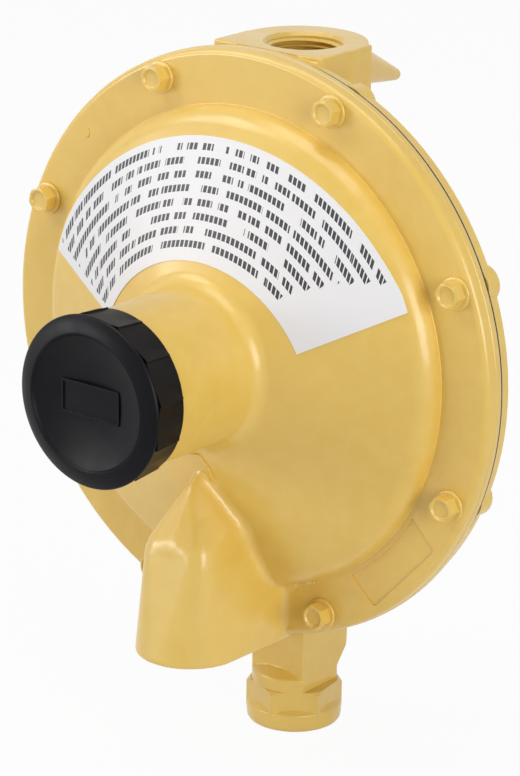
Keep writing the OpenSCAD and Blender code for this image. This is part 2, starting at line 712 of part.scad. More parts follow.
module disc_holder() {
    slot_gap = 0.1;
    top = -pivot_drop + 3.2;
    color(brass) in_valve_frame() difference() {
        upright(holder_foot - 1, top - holder_foot + 1, holder_r);
        upright(holder_foot - 2, disc_t / 2 + 2, disc_r + thread_gap);
        translate([-2.5, -pivot_drop - nose_r - slot_gap, -holder_r - 1])
            cube([5, 2 * (nose_r + slot_gap), holder_r + 4]);
        // room for the lever's hub and arm and the bracket's ears behind a wide holder
        translate([0, -pivot_drop, -pivot_back]) rotate([0, 90, 0]) {
            cylinder(h = 2 * ear_inner, r = hub_lever_r + slot_gap, center = true);
            for (side = [-1, 1]) translate([0, 0, side * (ear_inner - ear_gap + holder_r / 2)])
                cylinder(h = holder_r, r = ear_r + ear_gap, center = true);
        }
        translate([-ear_inner, -pivot_drop, -pivot_back - holder_r])
            cube([2 * ear_inner, 2 * holder_r, holder_r + hub_lever_r - 0.3]);
    }
}

module seat_disc() {
    color(rubber) in_valve_frame() upright(disc_y, disc_t, disc_r);
}

// Side outline of the lever's long arm, as a strip between two points.
function strip(p, q, half) =
    let (d = q - p, n = [-d[1], d[0]] / norm(d) * half) [p + n, q + n, q - n, p - n];

module lever() {
    foot = [pivot_h, -pivot_drop];
    knee = [fork_h, -8];
    arm_w = 4.6;
    color(steel) on_spring_axis() difference() {
        union() {
            side_profile(lever_w) polygon(strip(foot, knee, fork_t / 2));
            translate([0, -pivot_drop, pivot_h]) rotate([0, 90, 0]) cylinder(h = lever_w, r = hub_lever_r, center = true);
            translate([-6, -9, fork_h - fork_t / 2]) cube([12, 14, fork_t]);
            translate([-arm_w / 2, -pivot_drop - 1.2, pivot_h]) cube([arm_w, 2.4, pivot_back]);
            translate([0, -pivot_drop, valve_h]) rotate([0, 90, 0]) cylinder(h = arm_w, r = nose_r, center = true);
        }
        translate([0, -pivot_drop, pivot_h]) rotate([0, 90, 0])
            cylinder(h = lever_w + 2, r = pin_r + thread_gap, center = true);
        translate([0, 0, fork_h - fork_t]) cylinder(h = 2 * fork_t, r = stem_r + slide_gap);
        translate([-stem_r - slide_gap, 0, fork_h - fork_t]) cube([2 * (stem_r + slide_gap), 8, 2 * fork_t]);
    }
}

module lever_pin() {
    color(steel) on_spring_axis() translate([0, -pivot_drop, pivot_h]) rotate([0, 90, 0])
        cylinder(h = 2 * (ear_inner + ear_t) + 1.6, r = pin_r, center = true);
}

module lever_bracket() {
    plate_low = pocket_floor + 2;
    plate_high = -pivot_drop + 13;
    color(steel) on_spring_axis() difference() {
        union() {
            translate([-pocket_half_w + 0.6, plate_low, pocket_back_h + face_gap])
                cube([2 * pocket_half_w - 1.2, plate_high - plate_low, bracket_t]);
            for (side = [-1, 1]) translate([side * (ear_inner + ear_t / 2), 0, 0]) {
                translate([0, -pivot_drop, pivot_h]) rotate([0, 90, 0]) cylinder(h = ear_t, r = ear_r, center = true);
                translate([-ear_t / 2, -pivot_drop - ear_r, pocket_back_h + face_gap])
                    cube([ear_t, 2 * ear_r, pivot_h - pocket_back_h - face_gap]);
            }
        }
        translate([0, -pivot_drop, pivot_h]) rotate([0, 90, 0]) cylinder(h = 40, r = pin_r + 0.02, center = true);
        at_bracket_screws() translate([0, 0, pocket_back_h - 1]) cylinder(h = 4, r = bracket_screw_r + 0.15);
    }
}

module at_bracket_screws() {
    for (y = [pocket_floor + 4.5, -pivot_drop + 9]) translate([0, y, 0]) children();
}

module bracket_screws() {
    seat = pocket_back_h + 2 * face_gap + bracket_t;
    color(steel) on_spring_axis() at_bracket_screws() difference() {
        union() {
            translate([0, 0, seat]) cylinder(h = 1.8, r = bracket_head_r);
            translate([0, 0, pocket_back_h - 4]) cylinder(h = seat - pocket_back_h + 4 + EPS, r = bracket_screw_r);
        }
        translate([-bracket_head_r - 1, -0.35, seat + 1.1]) cube([2 * bracket_head_r + 2, 0.7, 2]);
    }
}

// ---- Vent, tap plug and label ----

module vent_screen() {
    color("#8C8672") on_spring_axis() translate([0, 0, vent_h])
        upright(screen_y, screen_t, screen_seat_r - slide_gap);
}

module vent_screen_ring() {
    ring_t = 1.5;
    color(brass) on_spring_axis() translate([0, screen_y - face_gap - ring_t, vent_h]) rotate([-90, 0, 0])
        difference() {
            cylinder(h = ring_t, r = screen_seat_r - thread_gap);
            translate([0, 0, -1]) cylinder(h = ring_t + 2, r = screen_seat_r - 2);
        }
}

module pressure_tap_plug() {
    color(brass) on_spring_axis() translate([outlet_boss_x - outlet_boss_r + 0.4, outlet_top - tap_drop, valve_h]) rotate([0, 90, 0])
        difference() {
            cylinder(h = 7.5, r = tap_plug_r);
            translate([0, 0, -1]) cylinder(h = 5, r = 2.75, $fn = 6);
        }
}

module label_outline() {
    reach = 2 * label_outer_r;
    intersection() {
        difference() {
            circle(r = label_outer_r);
            circle(r = label_inner_r);
        }
        polygon([[0, 0], [-reach * sin(label_left), reach * cos(label_left)], [-reach, reach],
            [reach, reach], [reach * sin(label_right), reach * cos(label_right)]]);
    }
}

module label() {
    inner = neck_root_r + 6;
    outer = dome_r - shoulder_r + shoulder_r * cos(cone_angle) - 0.2;
    low = face_gap * slant;
    high = low + label_t * slant;
    color("white") on_spring_axis() intersection() {
        rotate_extrude() polygon([
            [inner, cone_apex_h - cone_slope * inner + low], [outer, cone_apex_h - cone_slope * outer + low],
            [outer, cone_apex_h - cone_slope * outer + high], [inner, cone_apex_h - cone_slope * inner + high]]);
        translate([0, -label_drop, 0]) linear_extrude(80) label_outline();
    }
}

rear_casing();
bonnet();
flange_screws();
diaphragm();
pressure_plate();
backing_plate();
relief_stem();
relief_disc();
relief_spring();
relief_retainer();
main_spring();
spring_seat();
adjusting_screw();
closing_cap();
cap_gasket();
inlet_fitting();
nozzle();
valve_guide();
disc_holder();
seat_disc();
lever();
lever_pin();
lever_bracket();
bracket_screws();
vent_screen();
vent_screen_ring();
pressure_tap_plug();
label();
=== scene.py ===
"""Looks of a low-pressure gas regulator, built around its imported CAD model.

Two cast halves clamp a diaphragm. A spring neck with a closing cap stands in front, a vent hood
opens downwards, and a pipe port lies at each end of the upright port axis. Sizes are millimetres in
one of two local frames, the spring axis or the port axis, and Layout turns them into the part's metres.
"""
import logging
import math
from dataclasses import dataclass, field
from enum import Enum
from typing import Callable, Sequence

import bmesh
import bpy
from mathutils import Matrix, Vector
from mathutils.bvhtree import BVHTree


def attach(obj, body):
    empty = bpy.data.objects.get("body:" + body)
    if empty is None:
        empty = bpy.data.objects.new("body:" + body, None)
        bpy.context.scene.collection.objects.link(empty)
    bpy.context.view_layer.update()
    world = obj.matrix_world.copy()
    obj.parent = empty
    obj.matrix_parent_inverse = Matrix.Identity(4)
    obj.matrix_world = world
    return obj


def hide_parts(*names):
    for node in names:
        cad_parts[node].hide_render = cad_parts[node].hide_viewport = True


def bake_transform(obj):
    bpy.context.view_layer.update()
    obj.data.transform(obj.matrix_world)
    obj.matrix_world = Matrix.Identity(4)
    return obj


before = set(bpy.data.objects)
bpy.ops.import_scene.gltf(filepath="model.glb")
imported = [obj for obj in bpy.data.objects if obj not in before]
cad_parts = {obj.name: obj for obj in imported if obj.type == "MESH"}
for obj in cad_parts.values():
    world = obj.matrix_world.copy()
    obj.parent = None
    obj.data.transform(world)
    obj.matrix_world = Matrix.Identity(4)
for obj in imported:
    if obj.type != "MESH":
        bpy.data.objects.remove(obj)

LOG = logging.getLogger("regulator")
FULL_TURN = 2.0 * math.pi
MM = 0.001  # metres
PIPE_PITCH = 1.814  # millimetres, on both pipe threads
CAP_PITCH = 2.5  # millimetres, on the closing cap
CAST_SHARP = 32.0  # degrees above which an edge of a casting stays sharp

Outline = Sequence[tuple[float, float]]
Points = list[tuple[float, float]]
Verts = set[bmesh.types.BMVert]
Colour = tuple[float, float, float]
Socket = bpy.types.NodeSocket


# ---------------------------------------------------------------- places and outlines


@dataclass(frozen=True)
class Layout:
    """Sizes that several pieces share, in millimetres."""

    setback: float = 21.7
    axis_height: float = 143.6
    split: float = 0.65
    flange_r: float = 100.3
    face_h: float = 9.45
    screw_circle_r: float = 93.3
    screw_count: int = 8
    dome_r: float = 81.8
    cavity_r: float = 78.2
    cone_apex: float = 43.8
    cone_slope: float = 0.345
    dome_shoulder: float = 8.2
    neck_h: float = 80.0
    outlet_top: float = 98.6
    seam_r: float = 97.45
    seam_low: float = 0.9
    seam_high: float = 1.75

    @property
    def spring_axis(self) -> Matrix:
        """Frame with x across, y up and z forward from the diaphragm plane."""
        place = Matrix.Translation((0.0, -self.setback, self.axis_height))
        return Matrix.Scale(MM, 4) @ place @ Matrix.Rotation(math.pi / 2, 4, "X")

    @property
    def port_axis(self) -> Matrix:
        """Frame with its origin at the inlet's mouth and z up."""
        return Matrix.Scale(MM, 4)

    def upright(self, x: float = 0.0, forward: float | None = None) -> Matrix:
        """Matrix that stands a form drawn along z upright in the spring axis frame, on the port axis unless told."""
        depth = -self.setback if forward is None else forward
        return Matrix.Translation((x, 0.0, depth)) @ Matrix.Rotation(-math.pi / 2, 4, "X")

    def cone_h(self, radius: float) -> float:
        """Height of the dome's cone at a radius."""
        return self.cone_apex - self.cone_slope * radius

    def dome_h(self, radius: float) -> float:
        """Height of the dome, on its cone or on its rounded shoulder.

        Args:
            radius: distance from the spring axis.

        Returns:
            The height above the diaphragm plane.
        """
        centre = self.dome_r - self.dome_shoulder
        slant = math.hypot(1.0, self.cone_slope)
        if radius <= centre + self.dome_shoulder * self.cone_slope / slant:
            return self.cone_h(radius)
        rise = math.sqrt(max(0.0, self.dome_shoulder ** 2 - (radius - centre) ** 2))
        return self.cone_h(centre) - self.dome_shoulder * slant + rise

    def screw_places(self) -> list[Matrix]:
        """Places of the flange screws.

        Returns:
            One frame for each in the spring axis frame, with z forward.
        """
        step = FULL_TURN / self.screw_count
        out = Matrix.Translation((0.0, self.screw_circle_r, 0.0))
        return [Matrix.Rotation((i + 0.5) * step, 4, "Z") @ out for i in range(self.screw_count)]


LAYOUT = Layout()


def arc(cx: float, cy: float, r: float, start: float, end: float, steps: int = 8) -> Points:
    """Points of an arc round (cx, cy), from the angle start to the angle end in degrees."""
    angles = [math.radians(start + (end - start) * i / steps) for i in range(steps + 1)]
    return [(cx + r * math.cos(a), cy + r * math.sin(a)) for a in angles]


def dome_top(foot: float, apex: float, slope: float, corner: float, steps: int = 10) -> Points:
    """Rounded shoulder from an upright wall to a cone.

    Args:
        foot: radius of the wall.
        apex: height at which the cone would close.
        slope: fall of the cone over a unit of radius.
        corner: radius of the shoulder.
        steps: how many chords it has.

    Returns:
        The points from the wall to the cone.
    """
    centre = foot - corner
    height = apex - slope * centre - corner * math.hypot(1.0, slope)
    return arc(centre, height, corner, 0.0, math.degrees(math.atan2(1.0, slope)), steps)


def cone_fillet(wall: float, apex: float, slope: float, r: float, steps: int = 10) -> Points:
    """Hollow arc from a cone to an upright wall.

    Args:
        wall: radius of the wall.
        apex: height at which the cone would close.
        slope: fall of the cone over a unit of radius.
        r: radius of the arc.
        steps: how many chords it has.

    Returns:
        The points from the cone to the wall.
    """
    centre = wall + r
    height = apex - slope * centre + r * math.hypot(1.0, slope)
    return arc(centre, height, r, math.degrees(math.atan2(1.0, slope)) - 180.0, -180.0, steps)


def dense(points: Outline, longest: float = 3.5) -> Points:
    """Adds points on an outline's long stretches.

    Args:
        points: the outline.
        longest: length of the longest stretch that is left.

    Returns:
        The outline with its added points.
    """
    result = [points[0]]
    for (x0, y0), (x1, y1) in zip(points, points[1:]):
        pieces = max(1, math.ceil(math.hypot(x1 - x0, y1 - y0) / longest))
        result += [(x0 + (x1 - x0) * i / pieces, y0 + (y1 - y0) * i / pieces) for i in range(1, pieces + 1)]
    return result


def stood(name: str, data: bpy.types.ID) -> bpy.types.Object:
    """Puts a mesh, a lamp or a camera in the scene.

    Args:
        name: name of its object.
        data: the mesh, lamp or camera.

    Returns:
        The new object.
    """
    item = bpy.data.objects.new(name, data)
    bpy.context.scene.collection.objects.link(item)
    return item


# ---------------------------------------------------------------- closed forms


class Join(Enum):
    """Ways to combine two closed forms."""

    UNION = "UNION"
    CUT = "DIFFERENCE"
    COMMON = "INTERSECT"


class Shape:
    """A closed form in the making, held as a bmesh in millimetres."""

    def __init__(self) -> None:
        """Starts empty."""
        self.bm = bmesh.new()

    @classmethod
    def turned(cls, profile: Outline, steps: int = 96) -> "Shape":
        """Turns an outline right round the z axis.

        Args:
            profile: (radius, height) points, from the axis back to it, or all round a ring's section.
            steps: how many steps the turn has.

        Returns:
            The closed form.
        """
        shape = cls()
        chain = [shape.bm.verts.new((r, 0.0, h)) for r, h in profile]
        pairs = list(zip(chain, chain[1:]))
        if profile[0][0] > 1e-6 or profile[-1][0] > 1e-6:
            pairs.append((chain[-1], chain[0]))
        edges = [shape.bm.edges.new(pair) for pair in pairs]
        bmesh.ops.spin(shape.bm, geom=chain + edges, cent=(0, 0, 0), axis=(0, 0, 1), dvec=(0, 0, 0),
                       angle=FULL_TURN, steps=steps, use_merge=True)
        return shape.cleaned()

    @classmethod
    def sector(cls, profile: Outline, start: float, sweep: float, steps: int) -> "Shape":
        """Turns a closed outline through part of a turn and closes both ends.

        Args:
            profile: (radius, height) points of the closed section.
            start: first angle in radians.
            sweep: angle turned through in radians.
            steps: how many steps the turn has.

        Returns:
            The closed sector.
        """
        shape = cls()
        turn = Matrix.Rotation(start, 3, "Z")
        chain = [shape.bm.verts.new(turn @ Vector((r, 0.0, h))) for r, h in profile]
        edges = [shape.bm.edges.new(pair) for pair in zip(chain, chain[1:] + chain[:1])]
        bmesh.ops.spin(shape.bm, geom=chain + edges, cent=(0, 0, 0), axis=(0, 0, 1), dvec=(0, 0, 0),
                       angle=sweep, steps=steps)
        return shape.capped()

    @classmethod
    def coil(cls, mean_r: float, wire_r: float, low: float, pitches: Sequence[float], sides: int = 12,
             steps: int = 32) -> "Shape":
        """Winds a round wire, one turn for each pitch.

        Args:
            mean_r: radius of the wire's centre line.
            wire_r: radius of the wire.
            low: height of the centre line at its start.
            pitches: rise of each turn.
            sides: sides of the wire's section.
            steps: steps in a turn.

        Returns:
            The closed coil.
        """
        section = [(mean_r + wire_r * math.cos(FULL_TURN * i / sides), low + wire_r * math.sin(FULL_TURN * i / sides))
                   for i in range(sides)]
        return cls.helix(section, pitches, steps)

    @classmethod
    def helix(cls, section: Outline, pitches: Sequence[float], steps: int = 48) -> "Shape":
        """Winds a closed section upwards and closes its ends.

        Args:
            section: (radius, height) points of the section.
            pitches: rise of each turn.
            steps: how many steps a turn has.

        Returns:
            The closed winding.
        """
        shape = cls()
        chain = [shape.bm.verts.new((r, 0.0, h)) for r, h in section]
        loop = chain + [shape.bm.edges.new(pair) for pair in zip(chain, chain[1:] + chain[:1])]
        for pitch in pitches:
            made = bmesh.ops.spin(shape.bm, geom=loop, cent=(0, 0, 0), axis=(0, 0, 1), dvec=(0, 0, pitch / steps),
                                  angle=FULL_TURN, steps=steps)
            loop = made["geom_last"]
        return shape.capped()

    @classmethod
    def thread(cls, foot_r: float, crest_r: float, heights: Sequence[float], pitch: float, turns: int) -> "Shape":
        """Winds a thread's ridge; heights are those of its foot's low and high and its crest's high and low edge."""
        radii = (foot_r, foot_r, crest_r, crest_r)
        return cls.helix(list(zip(radii, heights)), [pitch] * turns, 64)

    @classmethod
    def drum(cls, low: float, high: float, r_low: float, r_high: float | None = None, segments: int = 96) -> "Shape":
        """Makes an upright cylinder or cone.

        Args:
            low: height of its foot.
            high: height of its top.
            r_low: radius of its foot.
            r_high: radius of its top, where that is another one.
            segments: how many sides it has.

        Returns:
            The closed form.
        """
        shape = cls()
        bmesh.ops.create_cone(shape.bm, cap_ends=True, cap_tris=False, segments=segments, radius1=r_low,
                              radius2=r_low if r_high is None else r_high, depth=high - low,
                              matrix=Matrix.Translation((0.0, 0.0, (low + high) / 2)))
        return shape

    @classmethod
    def block(cls, low: Sequence[float], high: Sequence[float]) -> "Shape":
        """Makes a box.

        Args:
            low: its corner with the lowest coordinates.
            high: its corner with the highest coordinates.

        Returns:
            The closed box.
        """
        shape = cls()
        size = [b - a for a, b in zip(low, high)]
        centre = [(a + b) / 2 for a, b in zip(low, high)]
        bmesh.ops.create_cube(shape.bm, size=1.0, matrix=Matrix.Translation(centre) @ Matrix.Diagonal((*size, 1.0)))
        return shape

    @classmethod
    def prism(cls, outline: Outline, low: float, high: float, corner: float = 0.0) -> "Shape":
        """Raises a flat outline into a prism.

        Args:
            outline: the outline's points.
            low: height of its foot.
            high: height of its top.
            corner: radius of its upright edges, or 0 to leave them sharp.

        Returns:
            The closed prism.
        """
        shape = cls()
        shape.bm.faces.new([shape.bm.verts.new((x, y, low)) for x, y in outline])
        shape.raised(high - low)
        if corner:
            upright = [e for e in shape.bm.edges if abs(e.verts[0].co.z - e.verts[1].co.z) > 1e-6]
            shape.rounded(upright, corner, 5)
        return shape.cleaned()

    @classmethod
    def hull(cls, points: Sequence[Sequence[float]]) -> "Shape":
        """Makes the convex form round a set of points.

        Args:
            points: the points.

        Returns:
            The closed form.
        """
        shape = cls()
        verts = [shape.bm.verts.new(p) for p in points]
        made = bmesh.ops.convex_hull(shape.bm, input=verts)
        spare = {g for g in made["geom_interior"] + made["geom_unused"] if isinstance(g, bmesh.types.BMVert)}
        bmesh.ops.delete(shape.bm, geom=list(spare), context="VERTS")
        return shape.cleaned()

    def raised(self, rise: float) -> None:
        """Gives the form's open faces a thickness.

        Args:
            rise: how far up its top stands.
        """
        made = bmesh.ops.extrude_face_region(self.bm, geom=self.bm.faces[:])
        top = [v for v in made["geom"] if isinstance(v, bmesh.types.BMVert)]
        bmesh.ops.translate(self.bm, verts=top, vec=(0.0, 0.0, rise))

    def rounded(self, edges: Sequence[bmesh.types.BMEdge], width: float, segments: int) -> "Shape":
        """Rounds some of the form's edges.

        Args:
            edges: the edges.
            width: how far the rounding reaches on each side.
            segments: how many faces it has across.

        Returns:
            The same form.
        """
        bmesh.ops.bevel(self.bm, geom=edges, offset=width, offset_type="OFFSET", segments=segments, profile=0.5,
                        affect="EDGES", clamp_overlap=True, material=-1)
        return self

    def cleaned(self) -> "Shape":
        """Merges doubles and turns the faces outwards.

        Returns:
            The same form.
        """
        bmesh.ops.remove_doubles(self.bm, verts=self.bm.verts[:], dist=1e-4)
        bmesh.ops.recalc_face_normals(self.bm, faces=self.bm.faces[:])
        return self

    def capped(self) -> "Shape":
        """Closes open ends and turns the faces outwards.

        Returns:
            The same form.
        """
        bmesh.ops.remove_doubles(self.bm, verts=self.bm.verts[:], dist=1e-5)
        bmesh.ops.holes_fill(self.bm, edges=[e for e in self.bm.edges if e.is_boundary], sides=0)
        bmesh.ops.recalc_face_normals(self.bm, faces=self.bm.faces[:])
        return self

    def placed(self, matrix: Matrix) -> "Shape":
        """Moves the whole form by a matrix."""
        bmesh.ops.transform(self.bm, matrix=matrix, verts=self.bm.verts[:])
        return self

    def beside(self, *others: "Shape") -> "Shape":
        """Adds other forms without joining their surfaces.

        Args:
            others: the forms, which are left as they are.

        Returns:
            The same form, with the others in it.
        """
        for other in others:
            mesh = bpy.data.meshes.new("carried")
            other.bm.to_mesh(mesh)
            self.bm.from_mesh(mesh)
            bpy.data.meshes.remove(mesh)
        return self

    def copy(self) -> "Shape":
        """Returns a copy of the form."""
        return Shape().beside(self)

    def on_bench(self) -> bpy.types.Object:
        """Puts the form in a helper object, for a modifier to work on.

        Returns:
            The helper object.
        """
        mesh = bpy.data.meshes.new("bench")
        self.bm.to_mesh(mesh)
        return stood("bench", mesh)

    @staticmethod
    def off_bench(*benches: bpy.types.Object) -> "Shape":
        """Takes the first helper's finished mesh, and clears all the helpers away.

        Args:
            benches: the helper objects.

        Returns:
            The finished form.
        """
        shape = Shape()
        graph = bpy.context.evaluated_depsgraph_get()
        mesh = bpy.data.meshes.new_from_object(benches[0].evaluated_get(graph))
        shape.bm.from_mesh(mesh)
        bpy.data.meshes.remove(mesh)
        for bench in benches:
            data = bench.data
            bpy.data.objects.remove(bench)
            bpy.data.meshes.remove(data)
        return shape

    def combined(self, other: "Shape", how: Join) -> "Shape":
        """Combines this form with another one.

        Args:
            other: the second closed form.
            how: union, cut or common part.

        Returns:
            A new closed form.
        """
        first, second = self.on_bench(), other.on_bench()
        work = first.modifiers.new("combine", "BOOLEAN")
        work.operation, work.solver, work.object = how.value, "MANIFOLD", second
        return Shape.off_bench(first, second)

    def less(self, *cutters: "Shape") -> "Shape":
        """Cuts other forms away.

        Args:
            cutters: the closed forms to cut with.

        Returns:
            What is left.
        """
        shape = self
        for cutter in cutters:
            shape = shape.combined(cutter, Join.CUT)
        return shape

    def remeshed(self, voxel: float) -> "Shape":
        """Fuses everything into one even skin.

        Args:
            voxel: size of the skin's faces.

        Returns:
            The closed skin.
        """
        bench = self.on_bench()
        work = bench.modifiers.new("fuse", "REMESH")
        work.mode, work.voxel_size, work.adaptivity = "VOXEL", voxel, 0.0
        return Shape.off_bench(bench)

    def eased(self, width: float, segments: int = 2, limit: float = 35.0) -> "Shape":
        """Rounds every edge sharper than limit degrees."""
        sharp = [e for e in self.bm.edges if e.is_manifold and e.calc_face_angle() > math.radians(limit)]
        return self.rounded(sharp, width, segments)

    def bent(self, least: float, keep: Callable[[Vector], bool]) -> tuple[Verts, Verts]:
        """Finds the creases of an even skin.

        Args:
            least: how far a vertex stands off its neighbours' middle on a crease.
            keep: says whether a place may be softened.

        Returns:
            The vertices in hollows and those on ridges.
        """
        self.bm.normal_update()
        hollows, ridges = set(), set()
        for v in self.bm.verts:
            middle = sum((e.other_vert(v).co for e in v.link_edges), Vector()) / max(1, len(v.link_edges))
            bend = (middle - v.co).dot(v.normal)
            if abs(bend) > least and keep(v.co):
                (hollows if bend > 0 else ridges).add(v)
        return hollows, ridges

    def smoothed(self, chosen: Verts, rings: int, rounds: int, keep: Callable[[Vector], bool]) -> None:
        """Smooths round chosen vertices, more in the middle than at the edge of the area.

        Args:
            chosen: the vertices in the middle of the area.
            rings: how many rings of neighbours the area has.
            rounds: how often the middle is smoothed.
            keep: says whether a place may be softened.
        """
        areas = [set(chosen)]
        for _ in range(rings):
            grown = {e.other_vert(v) for v in areas[-1] for e in v.link_edges} | areas[-1]
            areas.append({v for v in grown if keep(v.co)})
        for area in (areas[-1], areas[rings // 2]):
            for _ in range(rounds // 2):
                bmesh.ops.smooth_vert(self.bm, verts=list(area), factor=0.5, use_axis_x=True, use_axis_y=True,
                                      use_axis_z=True)


@dataclass(frozen=True)
class Softness:
    """How a casting's creases are rounded on an even skin.

    Attributes:
        voxel: size of the skin's faces.
        hollow_rings: how far a hollow's softening reaches, in faces.
        hollow_rounds: how often a hollow is smoothed.
        ridge_rings: how far a ridge's softening reaches, in faces.
        ridge_rounds: how often a ridge is smoothed.
        reach: distance from the boss at which the skin starts to dive under the plain surface.
        crisp: whether only the hollows show, because the boss is joined again with its own edges.
        crease: how far a vertex on a crease stands off its neighbours' middle, as a share of voxel.
        dive: how deep the skin lies under the plain surface far from the boss.
        dive_run: how far it takes to get there.
        level: height over the plain surface up to which the skin dives.
        crisp_dive: how deep a crisp skin lies under both forms outside its hollows.
        clearance: distance from either form at which a crisp skin starts to show.
        fade: how far it takes to show fully.
    """

    voxel: float
    hollow_rings: int
    hollow_rounds: int
    ridge_rings: int
    ridge_rounds: int
    reach: float
    crisp: bool = False
    crease: float = 0.06
    dive: float = 0.6
    dive_run: float = 5.0
    level: float = 0.8
    crisp_dive: float = 0.4
    clearance: float = 0.12
    fade: float = 0.5


def soft_fused(base: Shape, boss: Shape, soft: Softness, keep: Callable[[Vector], bool]) -> Shape:
    """Fuses a boss with the plain form it stands on, with cast hollows and soft edges.

    Away from the boss the skin dives just under the plain form, so that a union with that form
    shows its exact surface there.

    Args:
        base: the part of the plain form near the boss.
        boss: the forms that stand on it.
        soft: how the creases are rounded.
        keep: says whether a place may be softened.

    Returns:
        The closed skin.
    """
    skin = base.copy().beside(boss).remeshed(soft.voxel)
    hollows, ridges = skin.bent(soft.crease * soft.voxel, keep)
    if not soft.crisp:
        skin.smoothed(ridges, soft.ridge_rings, soft.ridge_rounds, keep)
    skin.smoothed(hollows, soft.hollow_rings, soft.hollow_rounds, keep)
    skin.bm.normal_update()
    base_tree, boss_tree = BVHTree.FromBMesh(base.bm), BVHTree.FromBMesh(boss.bm)
    for v in skin.bm.verts:
        gap, rise = boss_tree.find_nearest(v.co)[3], base_tree.find_nearest(v.co)[3]
        if soft.crisp:
            shown = min(1.0, max(0.0, (min(gap, rise) - soft.clearance) / soft.fade))
            v.co -= v.normal * soft.crisp_dive * (1.0 - shown)
        elif gap > soft.reach and rise < soft.level:
            v.co -= v.normal * soft.dive * min(1.0, (gap - soft.reach) / soft.dive_run)
    return skin


# ---------------------------------------------------------------- finishes


class NodeSheet:
    """Lays out the nodes of one material."""

    def __init__(self, name: str) -> None:
        """Starts a material with a shader and an output.

        Args:
            name: the material's name.
        """
        self.material = bpy.data.materials.new(name)
        self.material.use_nodes = True
        self.tree = self.material.node_tree
        self.tree.nodes.clear()
        self.shader = self.tree.nodes.new("ShaderNodeBsdfPrincipled")
        self.output = self.tree.nodes.new("ShaderNodeOutputMaterial")
        self.link(self.shader.outputs[0], self.output.inputs[0])
        self.place = self.add("ShaderNodeTexCoord").outputs["Object"]

    def add(self, kind: str, **settings: object) -> bpy.types.Node:
        """Adds a node.

        Args:
            kind: the node's type.
            settings: values by name, for its inputs of that name or else for its properties.

        Returns:
            The node.
        """
        node = self.tree.nodes.new(kind)
        for key, value in settings.items():
            if key in node.inputs:
                node.inputs[key].default_value = value
            else:
                setattr(node, key, value)
        return node

    def link(self, out: Socket, into: Socket) -> None:
        """Links two sockets."""
        self.tree.links.new(out, into)

    def math(self, operation: str, *values: float | Socket) -> Socket:
        """Adds a math node.

        Args:
            operation: what it works out.
            values: numbers or sockets, in the order of its inputs.

        Returns:
            The result's socket.
        """
        node = self.add("ShaderNodeMath", operation=operation)
        for socket, value in zip(node.inputs, values):
            if isinstance(value, (int, float)):
                socket.default_value = value
            else:
                self.link(value, socket)
        return node.outputs[0]

    def noise(self, scale: float, detail: float, stretch: Sequence[float] | None = None) -> Socket:
        """Adds a noise pattern on the object's own coordinates.

        Args:
            scale: how fine the pattern is.
            detail: how many finer layers it has.
            stretch: how fine it is along each axis, where that differs.

        Returns:
            The pattern's socket.
        """
        node = self.add("ShaderNodeTexNoise", Scale=scale, Detail=detail)
        source = self.place
        if stretch is not None:
            mapping = self.add("ShaderNodeMapping", Scale=stretch)
            self.link(source, mapping.inputs[0])
            source = mapping.outputs[0]
        self.link(source, node.inputs["Vector"])
        return node.outputs["Fac"]

    def spread(self, value: Socket, low: float, high: float, to_low: float, to_high: float) -> Socket:
        """Maps a range of a value to another range.

        Args:
            value: the value's socket.
            low: start of its range.
            high: end of its range.
            to_low: what the start becomes.
            to_high: what the end becomes.

        Returns:
            The mapped value's socket.
        """
        node = self.add("ShaderNodeMapRange")
        self.link(value, node.inputs[0])
        for i, number in enumerate((low, high, to_low, to_high), 1):
            node.inputs[i].default_value = number
        return node.outputs[0]

    def cloud(self, scale: float, detail: float, *span: float) -> Socket:
        """Adds a noise pattern and maps its range as spread does, with the same four numbers."""
        return self.spread(self.noise(scale, detail), *span)

    def tint(self, share: Socket, first: Colour | Socket, second: Colour) -> Socket:
        """Mixes two colours.

        Args:
            share: how much there is of the second one.
            first: a colour or a colour's socket.
            second: a colour.

        Returns:
            The mixed colour's socket.
        """
        node = self.add("ShaderNodeMix", data_type="RGBA")
        self.link(share, node.inputs[0])
        if isinstance(first, tuple):
            node.inputs[6].default_value = (*first, 1.0)
        else:
            self.link(first, node.inputs[6])
        node.inputs[7].default_value = (*second, 1.0)
        return node.outputs[2]

    def bump(self, height: Socket, depth: float, below: Socket | None = None) -> Socket:
        """Adds a bump and puts it on the shader.

        Args:
            height: the height's socket.
            depth: depth of the bump in metres.
            below: the bump that it lies on, where there is one.

        Returns:
            The bump's socket.
        """
        node = self.add("ShaderNodeBump", Strength=1.0, Distance=depth)
        self.link(height, node.inputs["Height"])
        if below is not None:
            self.link(below, node.inputs["Normal"])
        self.link(node.outputs[0], self.shader.inputs["Normal"])
        return node.outputs[0]

    def feed(self, **sockets: Socket) -> None:
        """Links sockets to the shader's inputs, with _ for a space in a name."""
        for name, socket in sockets.items():
            self.link(socket, self.shader.inputs[name.replace("_", " ")])

    def fix(self, **values: object) -> None:
        """Sets constants on the shader's inputs, with _ for a space in a name."""
        for name, value in values.items():
            self.shader.inputs[name.replace("_", " ")].default_value = value


